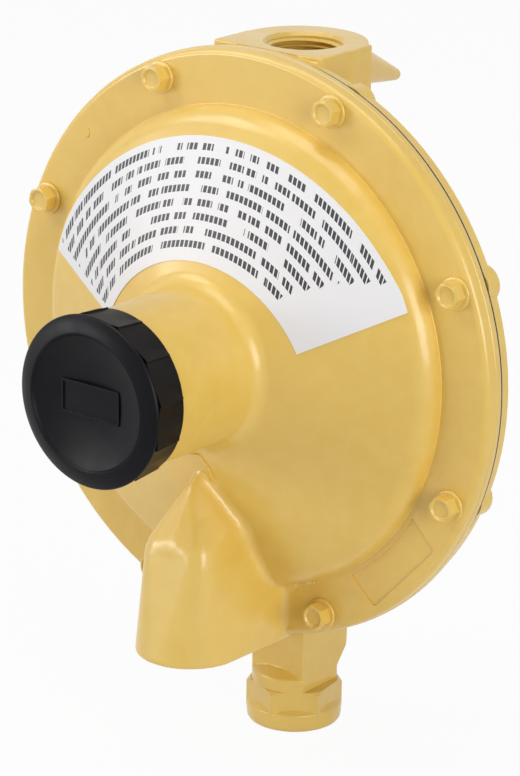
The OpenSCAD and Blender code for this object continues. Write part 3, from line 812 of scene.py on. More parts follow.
@dataclass(frozen=True)
class CastPaint:
    """Tan-gold enamel over a die casting: flow marks, orange peel and a fine cast grain."""

    name: str = "gold_enamel"
    colour: Colour = (0.765, 0.520, 0.112)
    deep: Colour = (0.735, 0.482, 0.092)
    pale: Colour = (0.790, 0.556, 0.140)
    roughness: float = 0.33

    def material(self) -> bpy.types.Material:
        """Builds the enamel.

        Returns:
            The material.
        """
        sheet = NodeSheet(self.name)
        broad = sheet.cloud(22.0, 3.0, 0.35, 0.65, 0.0, 1.0)
        fine = sheet.cloud(160.0, 4.0, 0.4, 0.75, 0.0, 0.55)
        tone = sheet.tint(broad, self.deep, self.colour)
        sheet.feed(Base_Color=sheet.tint(fine, tone, self.pale),
                   Roughness=sheet.cloud(90.0, 3.0, 0.3, 0.7, self.roughness - 0.05, self.roughness + 0.07))
        peel = sheet.bump(sheet.noise(420.0, 2.0), 0.00003)
        sheet.bump(sheet.noise(2100.0, 3.0), 0.000012, peel)
        sheet.fix(Coat_Weight=0.35, Coat_Roughness=0.14, Specular_IOR_Level=0.5)
        return sheet.material


@dataclass(frozen=True)
class MouldedPlastic:
    """Black moulded plastic with a fine spark-eroded grain."""

    name: str = "moulded_black"
    colour: Colour = (0.0024, 0.0026, 0.0042)
    worn: Colour = (0.006, 0.006, 0.007)
    roughness: float = 0.34

    def material(self) -> bpy.types.Material:
        """Builds the plastic.

        Returns:
            The material.
        """
        sheet = NodeSheet(self.name)
        wear = sheet.cloud(60.0, 5.0, 0.45, 0.8, 0.0, 1.0)
        sheet.feed(Base_Color=sheet.tint(wear, self.colour, self.worn),
                   Roughness=sheet.cloud(130.0, 4.0, 0.3, 0.7, self.roughness - 0.05, self.roughness + 0.08))
        sheet.bump(sheet.noise(2600.0, 2.0), 0.000014)
        sheet.fix(Specular_IOR_Level=0.13)
        return sheet.material


@dataclass(frozen=True)
class LabelFilm:
    """White film with rings of plain printed bars round the label's own centre.

    Attributes:
        name: the material's name.
        white: colour of the film.
        ink: colour of the bars.
        drop: how far the rings' centre lies under the spring axis, in metres.
        first_ring: radius of the innermost ring, in metres.
        pitch: distance from ring to ring, in metres.
        rings: how many rings there are.
        stroke: length of a bar with the gap after it, in metres.
        bar_share: how much of a stroke its bar takes up.
        group_scale: how short the groups of bars are.
        group_floor: how much of the pattern of groups is left bare.
        left_end: angle in radians at which the rings start.
        right_end: angle in radians at which the innermost ring ends.
        right_lean: how much further on each next ring ends, in radians.
    """

    name: str = "label_film"
    white: Colour = (0.80, 0.79, 0.805)
    ink: Colour = (0.035, 0.035, 0.045)
    drop: float = 0.010
    first_ring: float = 0.0494
    pitch: float = 0.00432
    rings: int = 8
    stroke: float = 0.0019
    bar_share: float = 0.74
    group_scale: float = 175.0
    group_floor: float = 0.43
    left_end: float = -1.13
    right_end: float = 0.70
    right_lean: float = 0.035

    def polar(self, sheet: NodeSheet) -> tuple[Socket, Socket]:
        """Finds where a point lies round the rings' centre.

        Args:
            sheet: the material in the making.

        Returns:
            Its radius in metres and its angle.
        """
        centred = sheet.add("ShaderNodeMapping", Location=(0.0, 0.0, self.drop - LAYOUT.axis_height * MM))
        sheet.link(sheet.place, centred.inputs[0])
        split = sheet.add("ShaderNodeSeparateXYZ")
        sheet.link(centred.outputs[0], split.inputs[0])
        x, z = split.outputs["X"], split.outputs["Z"]
        squares = sheet.math("ADD", sheet.math("MULTIPLY", x, x), sheet.math("MULTIPLY", z, z))
        return sheet.math("SQRT", squares), sheet.math("ARCTAN2", x, z)

    def bars(self, sheet: NodeSheet, along: Socket, row: Socket) -> Socket:
        """Breaks the rings into groups of bars.

        Args:
            sheet: the material in the making.
            along: distance along a ring, in metres.
            row: the ring's number.

        Returns:
            A value that is 1 on a bar.
        """
        groups = sheet.add("ShaderNodeTexNoise", noise_dimensions="2D", Scale=1.0, Detail=1.0)
        spot = sheet.add("ShaderNodeCombineXYZ")
        sheet.link(sheet.math("MULTIPLY", along, self.group_scale), spot.inputs[0])
        sheet.link(sheet.math("MULTIPLY", row, 7.31), spot.inputs[1])
        sheet.link(spot.outputs[0], groups.inputs["Vector"])
        offset = sheet.math("MULTIPLY", row, 0.37)
        stroke = sheet.math("FRACT", sheet.math("MULTIPLY_ADD", along, 1.0 / self.stroke, offset))
        return sheet.math("MULTIPLY", sheet.math("GREATER_THAN", groups.outputs["Fac"], self.group_floor),
                          sheet.math("LESS_THAN", stroke, self.bar_share))

    def printed_part(self, sheet: NodeSheet, angle: Socket, row: Socket) -> Socket:
        """Bounds the print.

        Args:
            sheet: the material in the making.
            angle: angle round the rings' centre.
            row: the ring's number.

        Returns:
            A value that is 1 between the ends of the rings, from the innermost to the outermost.
        """
        inside = sheet.math("MULTIPLY", sheet.math("GREATER_THAN", row, -0.5),
                            sheet.math("LESS_THAN", row, self.rings - 0.5))
        reach = sheet.math("MULTIPLY_ADD", row, self.right_lean, self.right_end)
        between = sheet.math("MULTIPLY", sheet.math("GREATER_THAN", angle, self.left_end),
                             sheet.math("LESS_THAN", angle, reach))
        return sheet.math("MULTIPLY", inside, between)

    def material(self) -> bpy.types.Material:
        """Builds the printed film.

        Returns:
            The material.
        """
        sheet = NodeSheet(self.name)
        radius, angle = self.polar(sheet)
        start = self.first_ring - self.pitch / 2
        ring = sheet.math("DIVIDE", sheet.math("SUBTRACT", radius, start), self.pitch)
        row = sheet.math("FLOOR", ring)
        within = sheet.math("ABSOLUTE", sheet.math("SUBTRACT", sheet.math("FRACT", ring), 0.5))
        tall = sheet.math("LESS_THAN", within, 0.25)
        bars = self.bars(sheet, sheet.math("MULTIPLY", angle, radius), row)
        printed = sheet.math("MULTIPLY", sheet.math("MULTIPLY", tall, bars), self.printed_part(sheet, angle, row))
        sheet.feed(Base_Color=sheet.tint(printed, self.white, self.ink),
                   Roughness=sheet.cloud(80.0, 3.0, 0.3, 0.7, 0.34, 0.44))
        sheet.bump(sheet.noise(700.0, 2.0), 0.000012)
        return sheet.material


class Metal(Enum):
    """Bare metals inside the regulator."""

    BRASS = "brass"
    PLATED = "plated_steel"
    WIRE = "spring_steel"
    MESH = "mesh_steel"


@dataclass(frozen=True)
class BareMetal:
    """Turned or drawn metal with fine tool marks round the spring axis or the port axis."""

    kind: Metal
    colour: Colour
    stain: Colour
    roughness: float

    def material(self) -> bpy.types.Material:
        """Builds the metal.

        Returns:
            The material.
        """
        sheet = NodeSheet(self.kind.value)
        stain = sheet.cloud(140.0, 5.0, 0.5, 0.8, 0.0, 0.8)
        sheet.feed(Base_Color=sheet.tint(stain, self.colour, self.stain),
                   Roughness=sheet.cloud(420.0, 3.0, 0.3, 0.7, self.roughness - 0.07, self.roughness + 0.1))
        marks = sheet.noise(60.0, 2.0, stretch=(1.0, 30.0, 30.0))
        sheet.bump(marks, 0.00001)
        sheet.fix(Metallic=1.0)
        return sheet.material


METALS = {
    Metal.BRASS: BareMetal(Metal.BRASS, (0.72, 0.50, 0.17), (0.42, 0.25, 0.08), 0.30),
    Metal.PLATED: BareMetal(Metal.PLATED, (0.56, 0.57, 0.58), (0.42, 0.40, 0.34), 0.34),
    Metal.WIRE: BareMetal(Metal.WIRE, (0.34, 0.34, 0.35), (0.20, 0.17, 0.14), 0.38),
    Metal.MESH: BareMetal(Metal.MESH, (0.45, 0.43, 0.38), (0.28, 0.25, 0.20), 0.45),
}


@dataclass(frozen=True)
class MouldedRubber:
    """Matt rubber with a faint cloth print where it is reinforced."""

    name: str
    colour: Colour
    cloth: float = 0.0
    bloom: Colour = (0.07, 0.068, 0.064)

    def material(self) -> bpy.types.Material:
        """Builds the rubber.

        Returns:
            The material.
        """
        sheet = NodeSheet(self.name)
        bloom = sheet.cloud(70.0, 4.0, 0.4, 0.8, 0.0, 0.35)
        sheet.feed(Base_Color=sheet.tint(bloom, self.colour, self.bloom))
        grain = sheet.bump(sheet.noise(1300.0, 3.0), 0.00002)
        if self.cloth:
            wave = sheet.add("ShaderNodeTexWave", Scale=260.0, Distortion=0.4)
            sheet.link(sheet.place, wave.inputs["Vector"])
            sheet.bump(wave.outputs["Fac"], self.cloth, grain)
        sheet.fix(Roughness=0.68)
        return sheet.material


@dataclass(frozen=True)
class NaturalNylon:
    """Off-white moulded nylon, slightly translucent."""

    name: str = "natural_nylon"
    colour: Colour = (0.60, 0.56, 0.46)
    pale: Colour = (0.66, 0.62, 0.52)

    def material(self) -> bpy.types.Material:
        """Builds the nylon.

        Returns:
            The material.
        """
        sheet = NodeSheet(self.name)
        haze = sheet.cloud(110.0, 3.0, 0.3, 0.7, 0.0, 1.0)
        sheet.feed(Base_Color=sheet.tint(haze, self.colour, self.pale))
        sheet.bump(sheet.noise(1500.0, 2.0), 0.00001)
        sheet.fix(Roughness=0.45, Subsurface_Weight=0.15)
        sheet.shader.inputs["Subsurface Radius"].default_value = (0.002, 0.0015, 0.001)
        return sheet.material


class Finishes:
    """The regulator's materials, each built once."""

    def __init__(self) -> None:
        """Builds every finish."""
        self.paint = CastPaint().material()
        self.plastic = MouldedPlastic().material()
        self.film = LabelFilm().material()
        self.rubber = MouldedRubber("nitrile", (0.022, 0.022, 0.024)).material()
        self.cloth_rubber = MouldedRubber("nitrile_cloth", (0.020, 0.019, 0.018), 0.00006).material()
        self.nylon = NaturalNylon().material()
        self.metals = {kind: metal.material() for kind, metal in METALS.items()}


@dataclass(frozen=True)
class Fitting:
    """What a finished piece is called, wears and rides on.

    Attributes:
        name: the piece's name.
        body: the body that it rides on, or nothing for a piece that rides on none.
        slot: what it is made of; not used.
        stands_for: the CAD nodes that it replaces.
    """

    name: str
    body: str
    slot: str
    stands_for: tuple[str, ...] = ()


def deliver(shape: Shape, place: Matrix, material: bpy.types.Material, fitting: Fitting,
            sharp: float = 40.0) -> bpy.types.Object:
    """Turns a form into a finished piece.

    Args:
        shape: the closed form, in millimetres of its own frame.
        place: the matrix from that frame to the part's metres.
        material: its finish.
        fitting: its name, body, slot and the CAD nodes it stands for.
        sharp: edges above this angle in degrees stay sharp.

    Returns:
        The piece.
    """
    shape.placed(place)
    bmesh.ops.dissolve_degenerate(shape.bm, dist=1e-7, edges=shape.bm.edges[:])
    mesh = bpy.data.meshes.new(fitting.name)
    shape.bm.to_mesh(mesh)
    mesh.polygons.foreach_set("use_smooth", [True] * len(mesh.polygons))
    mesh.set_sharp_from_angle(angle=math.radians(sharp))
    mesh.materials.append(material)
    piece = stood(fitting.name, mesh)
    piece.modifiers.new("face_weight", "WEIGHTED_NORMAL").keep_sharp = True
    if fitting.body:
        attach(piece, fitting.body)
    if fitting.stands_for:
        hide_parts(*fitting.stands_for)
    LOG.info("%s: %d faces", fitting.name, len(mesh.polygons))
    return piece


# ---------------------------------------------------------------- cast halves


@dataclass
class Bonnet:
    """Front casting: flange, dome, spring neck and vent hood."""

    finishes: Finishes
    rim_ease: float = 2.2
    wall: float = 3.6
    neck_root_r: float = 27.0
    neck_tip_r: float = 26.0
    neck_bore_r: float = 20.5
    thread_root_r: float = 23.0
    thread_crest_r: float = 22.4
    vent_drop: float = 100.4
    vent_h: float = 35.5
    vent_r: float = 18.4
    vent_bore_r: float = 12.2
    vent_way_r: float = 7.0
    hood_half_w: float = 19.0
    shoulder_w: float = 13.5
    shoulder_drop: float = 63.0
    shoulder_corner: float = 5.0
    neck_fillet: float = 6.0
    pad_rise: float = 0.6
    recess_depth: float = 0.55
    screw_hole_r: float = 2.7
    dot_place: tuple[float, float, float] = (-69.4, 61.8, 0.0)
    soft: Softness = Softness(voxel=0.75, hollow_rings=7, hollow_rounds=30, ridge_rings=5, ridge_rounds=40, reach=3.4)

    def outline(self) -> Points:
        """Outer half outline.

        Returns:
            (radius, height) points from the middle of the joint to the middle of the neck's end.
        """
        lay, rim = LAYOUT, LAYOUT.flange_r
        return (
            [(0.0, lay.split), (lay.seam_r - 0.5, lay.split), (lay.seam_r - 0.5, lay.seam_high),
             (rim - 1.1, lay.seam_high), (rim - 0.5, lay.seam_high + 0.25), (rim, lay.seam_high + 1.2), (rim, 4.9),
             (rim - 0.22, 5.15)]
            + arc(rim - 0.3 - self.rim_ease, lay.face_h - self.rim_ease, self.rim_ease, 0.0, 90.0, 8)
            + arc(lay.dome_r + 0.3, lay.face_h + 0.3, 0.3, -90.0, -180.0, 3)
            + dome_top(lay.dome_r, lay.cone_apex, lay.cone_slope, lay.dome_shoulder, 18)
            + cone_fillet(self.neck_root_r, lay.cone_apex, lay.cone_slope, self.neck_fillet, 12)
            + [(self.neck_tip_r, lay.neck_h - 0.8), (self.neck_tip_r - 0.8, lay.neck_h), (0.0, lay.neck_h)])

    def hollow(self) -> Shape:
        """Space inside the dome and the neck.

        Returns:
            The form to cut with.
        """
        lay = LAYOUT
        apex = lay.cone_apex - self.wall * math.hypot(1.0, lay.cone_slope)
        return Shape.turned(
            [(0.0, -1.0), (lay.cavity_r, -1.0)]
            + dome_top(lay.cavity_r, apex, lay.cone_slope, 4.0)
            + [(self.neck_bore_r, apex - lay.cone_slope * self.neck_bore_r), (self.neck_bore_r, 69.0),
               (self.thread_root_r, 70.2), (self.thread_root_r, 79.2), (self.thread_root_r + 0.8, 80.0),
               (self.thread_root_r + 0.8, 81.0), (0.0, 81.0)], 128)

    def hood(self) -> Shape:
        """Vent hood: a tapering U under a gabled roof that closes to a peak below the neck.

        Returns:
            The U and the roof, which overlap.
        """
        mouth = [(x, -self.vent_drop + rise, self.vent_h + z)
                 for x, z in arc(0.0, 0.0, self.vent_r, 0.0, 360.0, 64)[:-1] for rise in (0.0, 1.2)]
        foot = [(side * self.hood_half_w, -self.vent_drop + rise, LAYOUT.face_h + z)
                for side in (-1, 1) for rise in (0.0, 19.0) for z in (-4.0, 0.2)]
        corner = self.shoulder_corner
        shoulder = [(side * (self.shoulder_w - corner) + x, -self.shoulder_drop + rise, self.vent_h + 5.5 + z)
                    for side in (-1, 1) for x, z in arc(0.0, 0.0, corner, 0.0, 360.0, 24)[:-1] for rise in (0.0, 0.6)]
        shoulder += [(side * self.shoulder_w, -self.shoulder_drop + rise, LAYOUT.face_h + 4.0)
                     for side in (-1, 1) for rise in (0.0, 0.6)]
        eaves = [(1.2, -39.5, 33.6), (4.2, -45.4, 35.4), (8.0, -49.8, 33.2), (12.1, -55.3, 30.2), (13.5, -60.0, 27.0)]
        roof = [(0.0, -38.7, 33.9), (0.0, -60.2, 46.2)]
        for x, y, h in eaves:
            roof += [(side * x, y, h) for side in (-1, 1)] + [(side * (x + 1.1), y + 0.9, 12.0) for side in (-1, 1)]
        return Shape.hull(mouth + foot + shoulder).beside(Shape.hull(shoulder + roof))

    def date_pad(self) -> Shape:
        """Low flat pad on the dome beside the hood.

        Returns:
            The pad, sunk into the dome.
        """
        rises = ((77.6, 0.35), (76.8, self.pad_rise), (28.0, self.pad_rise))
        top = [(radius, LAYOUT.cone_h(radius) + rise) for radius, rise in rises]
        skin = Shape.turned([(0.0, 10.0), (top[0][0], 10.0)] + top + [(0.0, top[-1][1])], 128)
        outline = [(5.4, -41.5), (4.6, -36.0), (1.5, -31.2), (-4.0, -32.4), (-10.4, -35.8), (-22.0, -38.0),
                   (-40.0, -40.0), (-52.0, -56.0), (-36.0, -68.5), (-22.0, -73.5), (-17.0, -70.0), (-9.0, -54.0)]
        return Shape.prism(outline, 5.0, 60.0, 1.2).combined(skin, Join.COMMON)

    def blank_recess(self) -> Shape:
        """Shallow rounded recess in the flange at the lower right.

        Returns:
            The form to cut with.
        """
        outline = [(66.5, -38.5), (71.0, -42.6), (81.0, -52.6), (57.0, -78.4), (46.4, -68.6), (44.0, -60.0)]
        plate = Shape.prism(outline, LAYOUT.face_h - self.recess_depth, LAYOUT.face_h + 3.0, 1.6)
        return plate.less(Shape.drum(0.0, 30.0, LAYOUT.dome_r + 2.2))

    def vent_cutters(self) -> list[Shape]:
        """Bore, screen seat and way of the vent.

        Returns:
            The forms to cut with.
        """
        stand = LAYOUT.upright(0.0, self.vent_h)
        bore = [(0.0, -102.0), (13.9, -102.0), (13.7, -self.vent_drop), (12.3, -98.9), (self.vent_bore_r, -87.0),
                (11.6, -86.8), (11.6, -84.3), (self.vent_way_r, -84.3), (self.vent_way_r, -67.0), (0.0, -67.0)]
        way = Shape.drum(6.0, self.vent_h, self.vent_way_r).placed(Matrix.Translation((0.0, -72.2, 0.0)))
        return [Shape.turned(bore).placed(stand), way]

    def may_soften(self, co: Vector) -> bool:
        """Says whether the skin may be softened at a place: not at the mouth of the hood."""
        return -self.vent_drop + 1.4 < co.y < -35.6 and co.z > 6.0

    def build(self) -> None:
        """Builds the casting and the thread of its neck."""
        plain = Shape.turned(dense(self.outline()), 192)
        near = plain.combined(Shape.block((-38.0, -97.6, 2.0), (38.0, -20.0, 62.0)), Join.COMMON)
        skin = soft_fused(near, self.hood(), self.soft, self.may_soften)
        body = plain.combined(skin, Join.UNION).combined(self.date_pad(), Join.UNION)
        dot = Shape.drum(LAYOUT.face_h - 1.0, LAYOUT.face_h + 0.25, 2.4, 2.1, 32)
        body = body.combined(dot.placed(Matrix.Translation(self.dot_place)), Join.UNION)
        holes = [Shape.drum(-1.0, 11.0, self.screw_hole_r, segments=32).placed(m) for m in LAYOUT.screw_places()]
        body = body.less(self.hollow(), *self.vent_cutters(), Shape().beside(*holes), self.blank_recess())
        deliver(body, LAYOUT.spring_axis, self.finishes.paint,
                Fitting("bonnet_casting", "body", "gold_paint", ("bonnet",)), CAST_SHARP)
        thread = Shape.thread(self.thread_root_r + 0.3, self.thread_crest_r, (69.9, 71.9, 71.1, 70.7), CAP_PITCH, 3)
        deliver(thread, LAYOUT.spring_axis, self.finishes.paint, Fitting("neck_thread", "body", "gold_paint"))


@dataclass
class RearCasing:
    """Rear casting: bowl, valve housing, inlet column, outlet boss and lug."""

    finishes: Finishes
    casing_r: float = 98.5
    bowl_r: float = 83.5
    bowl_depth: float = 31.5
    bowl_slope: float = 0.1
    corner_r: float = 9.0
    wall: float = 4.0
    housing_r: float = 20.6
    column_half: float = 11.5
    barrel_top: float = -129.1
    outlet_bore_r: float = 12.7
    outlet_r: float = 22.3
    outlet_low: float = 44.6
    thread_crest_r: float = 11.4
    screw_hole_r: float = 2.45
    bracket_hole_r: float = 1.55
    tap_hole_r: float = 4.35
    soft: Softness = Softness(voxel=0.95, hollow_rings=5, hollow_rounds=18, ridge_rings=0, ridge_rounds=0, reach=3.0,
                              crisp=True)

    def bowl(self) -> Shape:
        """Flange, seam lip and bowl as a plain turned form.

        Returns:
            The closed form.
        """
        lay = LAYOUT
        profile = [(0.0, lay.split), (lay.seam_r, lay.split), (lay.seam_r, -lay.seam_low),
                   (self.casing_r + 0.2, -lay.seam_low), (self.casing_r + 0.35, 0.2 - lay.seam_low),
                   (self.casing_r, 1.2), (self.casing_r, 3.7), (self.casing_r - 0.7, 4.35)]
        profile += arc(self.bowl_r + 3.0, 7.35, 3.0, -90.0, -180.0, 6)
        profile += dome_top(self.bowl_r, self.bowl_depth, self.bowl_slope, self.corner_r, 12) + [(0.0, self.bowl_depth)]
        return Shape.turned([(r, -h) for r, h in dense(profile)], 192)

    def lug(self) -> Shape:
        """Slanting lug beside the outlet, rounded at its end.

        Returns:
            The lug, cut off under the outlet's end.
        """
        top = LAYOUT.outlet_top
        lean = Matrix.Translation((13.2, top - 7.4, -30.0)) @ Matrix.Rotation(math.radians(162.6), 4, "X")
        pin = Shape.turned([(0.0, 0.0), (7.2, 0.0)] + arc(0.0, 25.2, 2.1, 12.0, 90.0, 6)[:-1] + [(0.0, 27.3)], 48)
        room = Shape.block((-10.0, 40.0, -90.0), (20.4, top - 0.1, 0.0))
        return pin.placed(lean).combined(room, Join.COMMON)

    def outlet(self) -> list[Shape]:
        """Outlet boss: its round body, its flat front, its web on the rim and the foot of the lug.

        Returns:
            The four closed forms.
        """
        low, top, r = self.outlet_low, LAYOUT.outlet_top, self.outlet_r
        ease = 0.7
        body = Shape.turned([(0.0, low), (21.6, low), (r, 45.4), (r, top - 0.7), (22.1, top - 0.2), (21.6, top),
                             (0.0, top)])
        body = body.placed(LAYOUT.upright(-1.4))
        face = [(-24.2, 0.0), (20.5, 0.0), (20.5, -14.0)] + arc(16.5, -14.0, 4.0, 0.0, -90.0, 6)[1:] + [(-24.2, -18.0)]
        web = Shape.drum(-4.0, 4.0, self.casing_r - 0.05, segments=192)
        return [
            body.combined(Shape.block((-30.0, 40.0, -60.0), (30.0, 100.0, -3.5)), Join.COMMON),
            Shape.prism(face, low, top).eased(ease, 3).placed(LAYOUT.upright()),
            web.combined(Shape.block((-24.1, 80.0, -3.9), (20.4, 110.0, 3.0)), Join.COMMON),
            Shape.block((3.6, low, -31.8), (20.5, top, -14.0)).eased(ease, 3)]

    def spine(self) -> list[Shape]:
        """Everything that stands on the bowl's back along the port axis.

        Returns:
            The closed forms, each with eased edges.
        """
        stand = LAYOUT.upright()
        housing = Shape.turned([(0.0, -103.0), (12.0, -103.0), (self.housing_r - 0.3, -95.3), (self.housing_r, -94.6),
                                (self.housing_r, -26.0), (13.0, -14.0), (0.0, -14.0)])
        rib = Shape.drum(-40.0, 90.0, 17.0)
        collar = Shape.turned([(0.0, self.barrel_top), (14.9, self.barrel_top), (14.9, -125.0), (14.7, -124.5),
                               (14.3, -124.2), (10.4, -122.2), (0.0, -122.2)]).placed(stand)
        side = [(-11.9, -60.0), (-11.9, -130.5), (-31.5, -130.5), (-31.5, -125.1), (-32.1, -124.2), (-36.2, -119.2),
                (-36.8, -118.0), (-37.4, -105.0), (-41.8, -95.0), (-41.8, -60.0)]
        column = Shape.prism(side, -self.column_half, self.column_half)
        return [
            housing.placed(stand),
            rib.placed(stand),
            collar.combined(Shape.block((-11.47, -131.0, -60.0), (11.47, -110.0, 0.0)), Join.COMMON),
            column.placed(Matrix.Rotation(-math.pi / 2, 4, "Y")).eased(0.7, 3),
            *self.outlet(),
            self.lug()]

    def cutters(self) -> list[Shape]:
        """Chamber, ports, valve pocket and screw holes, and the room of the other casting and of the barrel.

        Returns:
            The forms to cut with.
        """
        stand = LAYOUT.upright()
        inside = [(0.0, -3.0), (LAYOUT.cavity_r, -3.0)]
        inside += dome_top(LAYOUT.cavity_r, self.bowl_depth - self.wall, self.bowl_slope, self.corner_r - self.wall)
        inside += [(0.0, self.bowl_depth - self.wall)]
        bore = [(0.0, 79.1), (11.0, 79.1), (self.outlet_bore_r, 80.2), (self.outlet_bore_r, 97.35), (13.9, 98.6),
                (14.1, 100.0), (0.0, 100.0)]
        gas_way = [(0.0, -130.2), (8.45, -130.2), (8.45, -108.1), (6.0, -108.1), (6.0, -88.0), (5.55, -88.0),
                   (5.55, -79.0), (0.0, -79.0)]
        screws = [Shape.drum(-6.4, 0.0, self.screw_hole_r, segments=32).placed(m) for m in LAYOUT.screw_places()]
        bracket = [Shape.drum(-40.5, -35.5, self.bracket_hole_r, segments=24).placed(Matrix.Translation((0.0, y, 0.0)))
                   for y in (-75.5, -57.0)]
        tap = Matrix.Translation((-24.7, 86.6, -LAYOUT.setback)) @ Matrix.Rotation(math.pi / 2, 4, "Y")
        return [
            Shape.block((-25.0, -140.0, -60.0), (25.0, self.barrel_top, 5.0)),  # room of the inlet barrel
            Shape.drum(-LAYOUT.split, 40.0, LAYOUT.seam_r - 0.05, segments=192),  # room of the bonnet in the seam lip
            Shape.block((-210.0, -210.0, LAYOUT.seam_high - 0.05), (210.0, 210.0, 60.0)),  # all in front of the seam
            Shape.turned([(r, -h) for r, h in inside], 128),  # chamber
            Shape.turned(bore).placed(stand),  # mouth of the outlet
            Shape.drum(self.outlet_low, 80.0, 9.5).placed(stand),  # way to the outlet
            Shape.turned(gas_way, 64).placed(stand),  # way from the inlet to the nozzle
            Shape.block((-9.0, -80.0, -36.0), (9.0, -36.0, -12.5)),  # pocket of the valve
            Shape().beside(*screws, *bracket),
            Shape.drum(0.0, 24.7, self.tap_hole_r, segments=48).placed(tap)]

    def may_soften(self, co: Vector) -> bool:
        """Says whether the skin may be softened at a place."""
        return -96.0 < co.y < 76.0 and co.z < 1.5

    def build(self) -> None:
        """Builds the casting and the thread of the outlet."""
        plain = self.bowl()
        near = plain.combined(Shape.block((-48.0, -96.5, -60.0), (48.0, 96.5, -1.5)), Join.COMMON)
        spine = self.spine()
        skin = soft_fused(near, Shape().beside(*[form.copy() for form in spine]), self.soft, self.may_soften)
        boss = [(0.0, 0.85), (6.7, 0.85), (6.7, -5.0), (6.5, -5.45), (6.1, -5.65), (0.0, -5.65)]
        bosses = Shape().beside(*[Shape.turned(boss, 40).placed(m) for m in LAYOUT.screw_places()])
        body = plain.combined(skin, Join.UNION)
        for form in spine + [bosses]:
            body = body.combined(form, Join.UNION)
        body = body.less(*self.cutters())
        deliver(body, LAYOUT.spring_axis, self.finishes.paint,
                Fitting("rear_casting", "body", "gold_paint", ("rear_casing",)), CAST_SHARP)
        thread = Shape.thread(self.outlet_bore_r + 0.3, self.thread_crest_r, (79.9, 81.6, 80.9, 80.6), PIPE_PITCH, 9)
        deliver(thread.placed(LAYOUT.upright()), LAYOUT.spring_axis, self.finishes.paint,
                Fitting("outlet_thread", "body", "gold_paint"))


# ---------------------------------------------------------------- fasteners and fittings


@dataclass
class FlangeScrews:
    """Eight painted hex washer screws with dished heads."""

    finishes: Finishes
    across: float = 7.94
    head_top: float = 5.4
    shank_r: float = 2.4
    shank_end: float = -14.7
    turns: tuple[float, ...] = (12.0, 40.0, 5.0, 27.0, 50.0, 18.0, 33.0, 8.0)

    def head(self) -> Shape:
        """One screw: washer, chamfered hexagon with a dished top, and shank.

        Returns:
            The closed form, with z = 0 on the flange.
        """
        top, corner = self.head_top, self.across / math.sqrt(3.0)
        flats = Shape.drum(0.9, top + 1.0, corner, segments=6)
        envelope = Shape.turned([(0.0, 0.5), (corner + 0.2, 0.5), (corner + 0.1, top - 0.6), (corner - 0.1, top - 0.25),
                                 (corner - 0.4, top - 0.05), (corner - 0.6, top), (0.0, top)], 64)
        dish = Shape.turned([(0.0, top - 0.8), (2.6, top - 0.8), (2.9, top - 0.68), (3.2, top - 0.2),
                             (3.45, top + 0.05), (3.45, top + 1.0), (0.0, top + 1.0)], 48)
        washer = Shape.turned([(0.0, 0.0), (5.4, 0.0), (5.5, 0.12), (5.5, 0.6), (5.3, 0.85), (4.8, 1.0),
                               (0.0, 1.0)], 48)
        shank = Shape.drum(self.shank_end, 0.5, self.shank_r, segments=32)
        hexagon = flats.combined(envelope, Join.COMMON).less(dish)
        return hexagon.combined(washer, Join.UNION).combined(shank, Join.UNION)

    def build(self) -> None:
        """Builds the set."""
        lift = Matrix.Translation((0.0, 0.0, LAYOUT.face_h + 0.05))
        heads = [self.head().placed(m @ lift @ Matrix.Rotation(math.radians(turn), 4, "Z"))
                 for m, turn in zip(LAYOUT.screw_places(), self.turns)]
        deliver(Shape().beside(*heads), LAYOUT.spring_axis, self.finishes.paint,
                Fitting("flange_screw_set", "body", "gold_paint", ("flange_screws",)), CAST_SHARP)


@dataclass
class InletFitting:
    """Inlet barrel: six wrench flats over a round foot, with a threaded bore."""

    finishes: Finishes
    turn: float = 38.6
    foot_r: float = 16.6
    bore_r: float = 9.95
    gas_way_r: float = 6.0
    shank_r: float = 8.4
    thread_crest_r: float = 9.1

    def build(self) -> None:
        """Builds the fitting and its thread."""
        flats = Shape.drum(3.6, 15.0, self.foot_r + 0.15, segments=6)
        flats.placed(Matrix.Rotation(math.radians(self.turn - 90.0), 4, "Z"))
        envelope = Shape.turned([(0.0, 3.8), (self.foot_r + 0.5, 3.8), (self.foot_r + 0.5, 12.9), (15.4, 14.45),
                                 (0.0, 14.45)], 128)
        foot = Shape.turned([(0.0, 0.0), (15.0, 0.0), (15.9, 0.45), (16.4, 1.2), (self.foot_r, 2.4), (self.foot_r, 6.0),
                             (16.4, 6.5), (13.4, 8.7), (0.0, 8.7)], 128)
        shank = Shape.drum(14.0, 34.5, self.shank_r)
        body = flats.combined(envelope, Join.COMMON).combined(foot, Join.UNION).combined(shank, Join.UNION)
        bore = Shape.turned([(0.0, -1.0), (11.2, -1.0), (11.0, 0.0), (self.bore_r, 1.1), (self.bore_r, 12.6),
                             (self.gas_way_r, 14.0), (self.gas_way_r, 35.5), (0.0, 35.5)])
        deliver(body.less(bore), LAYOUT.port_axis, self.finishes.paint,
                Fitting("inlet_barrel", "body", "gold_paint", ("inlet_fitting",)), 30.0)
        thread = Shape.thread(self.bore_r + 0.3, self.thread_crest_r, (0.9, 2.5, 1.85, 1.6), PIPE_PITCH, 6)
        deliver(thread, LAYOUT.port_axis, self.finishes.paint, Fitting("inlet_thread", "body", "gold_paint"))


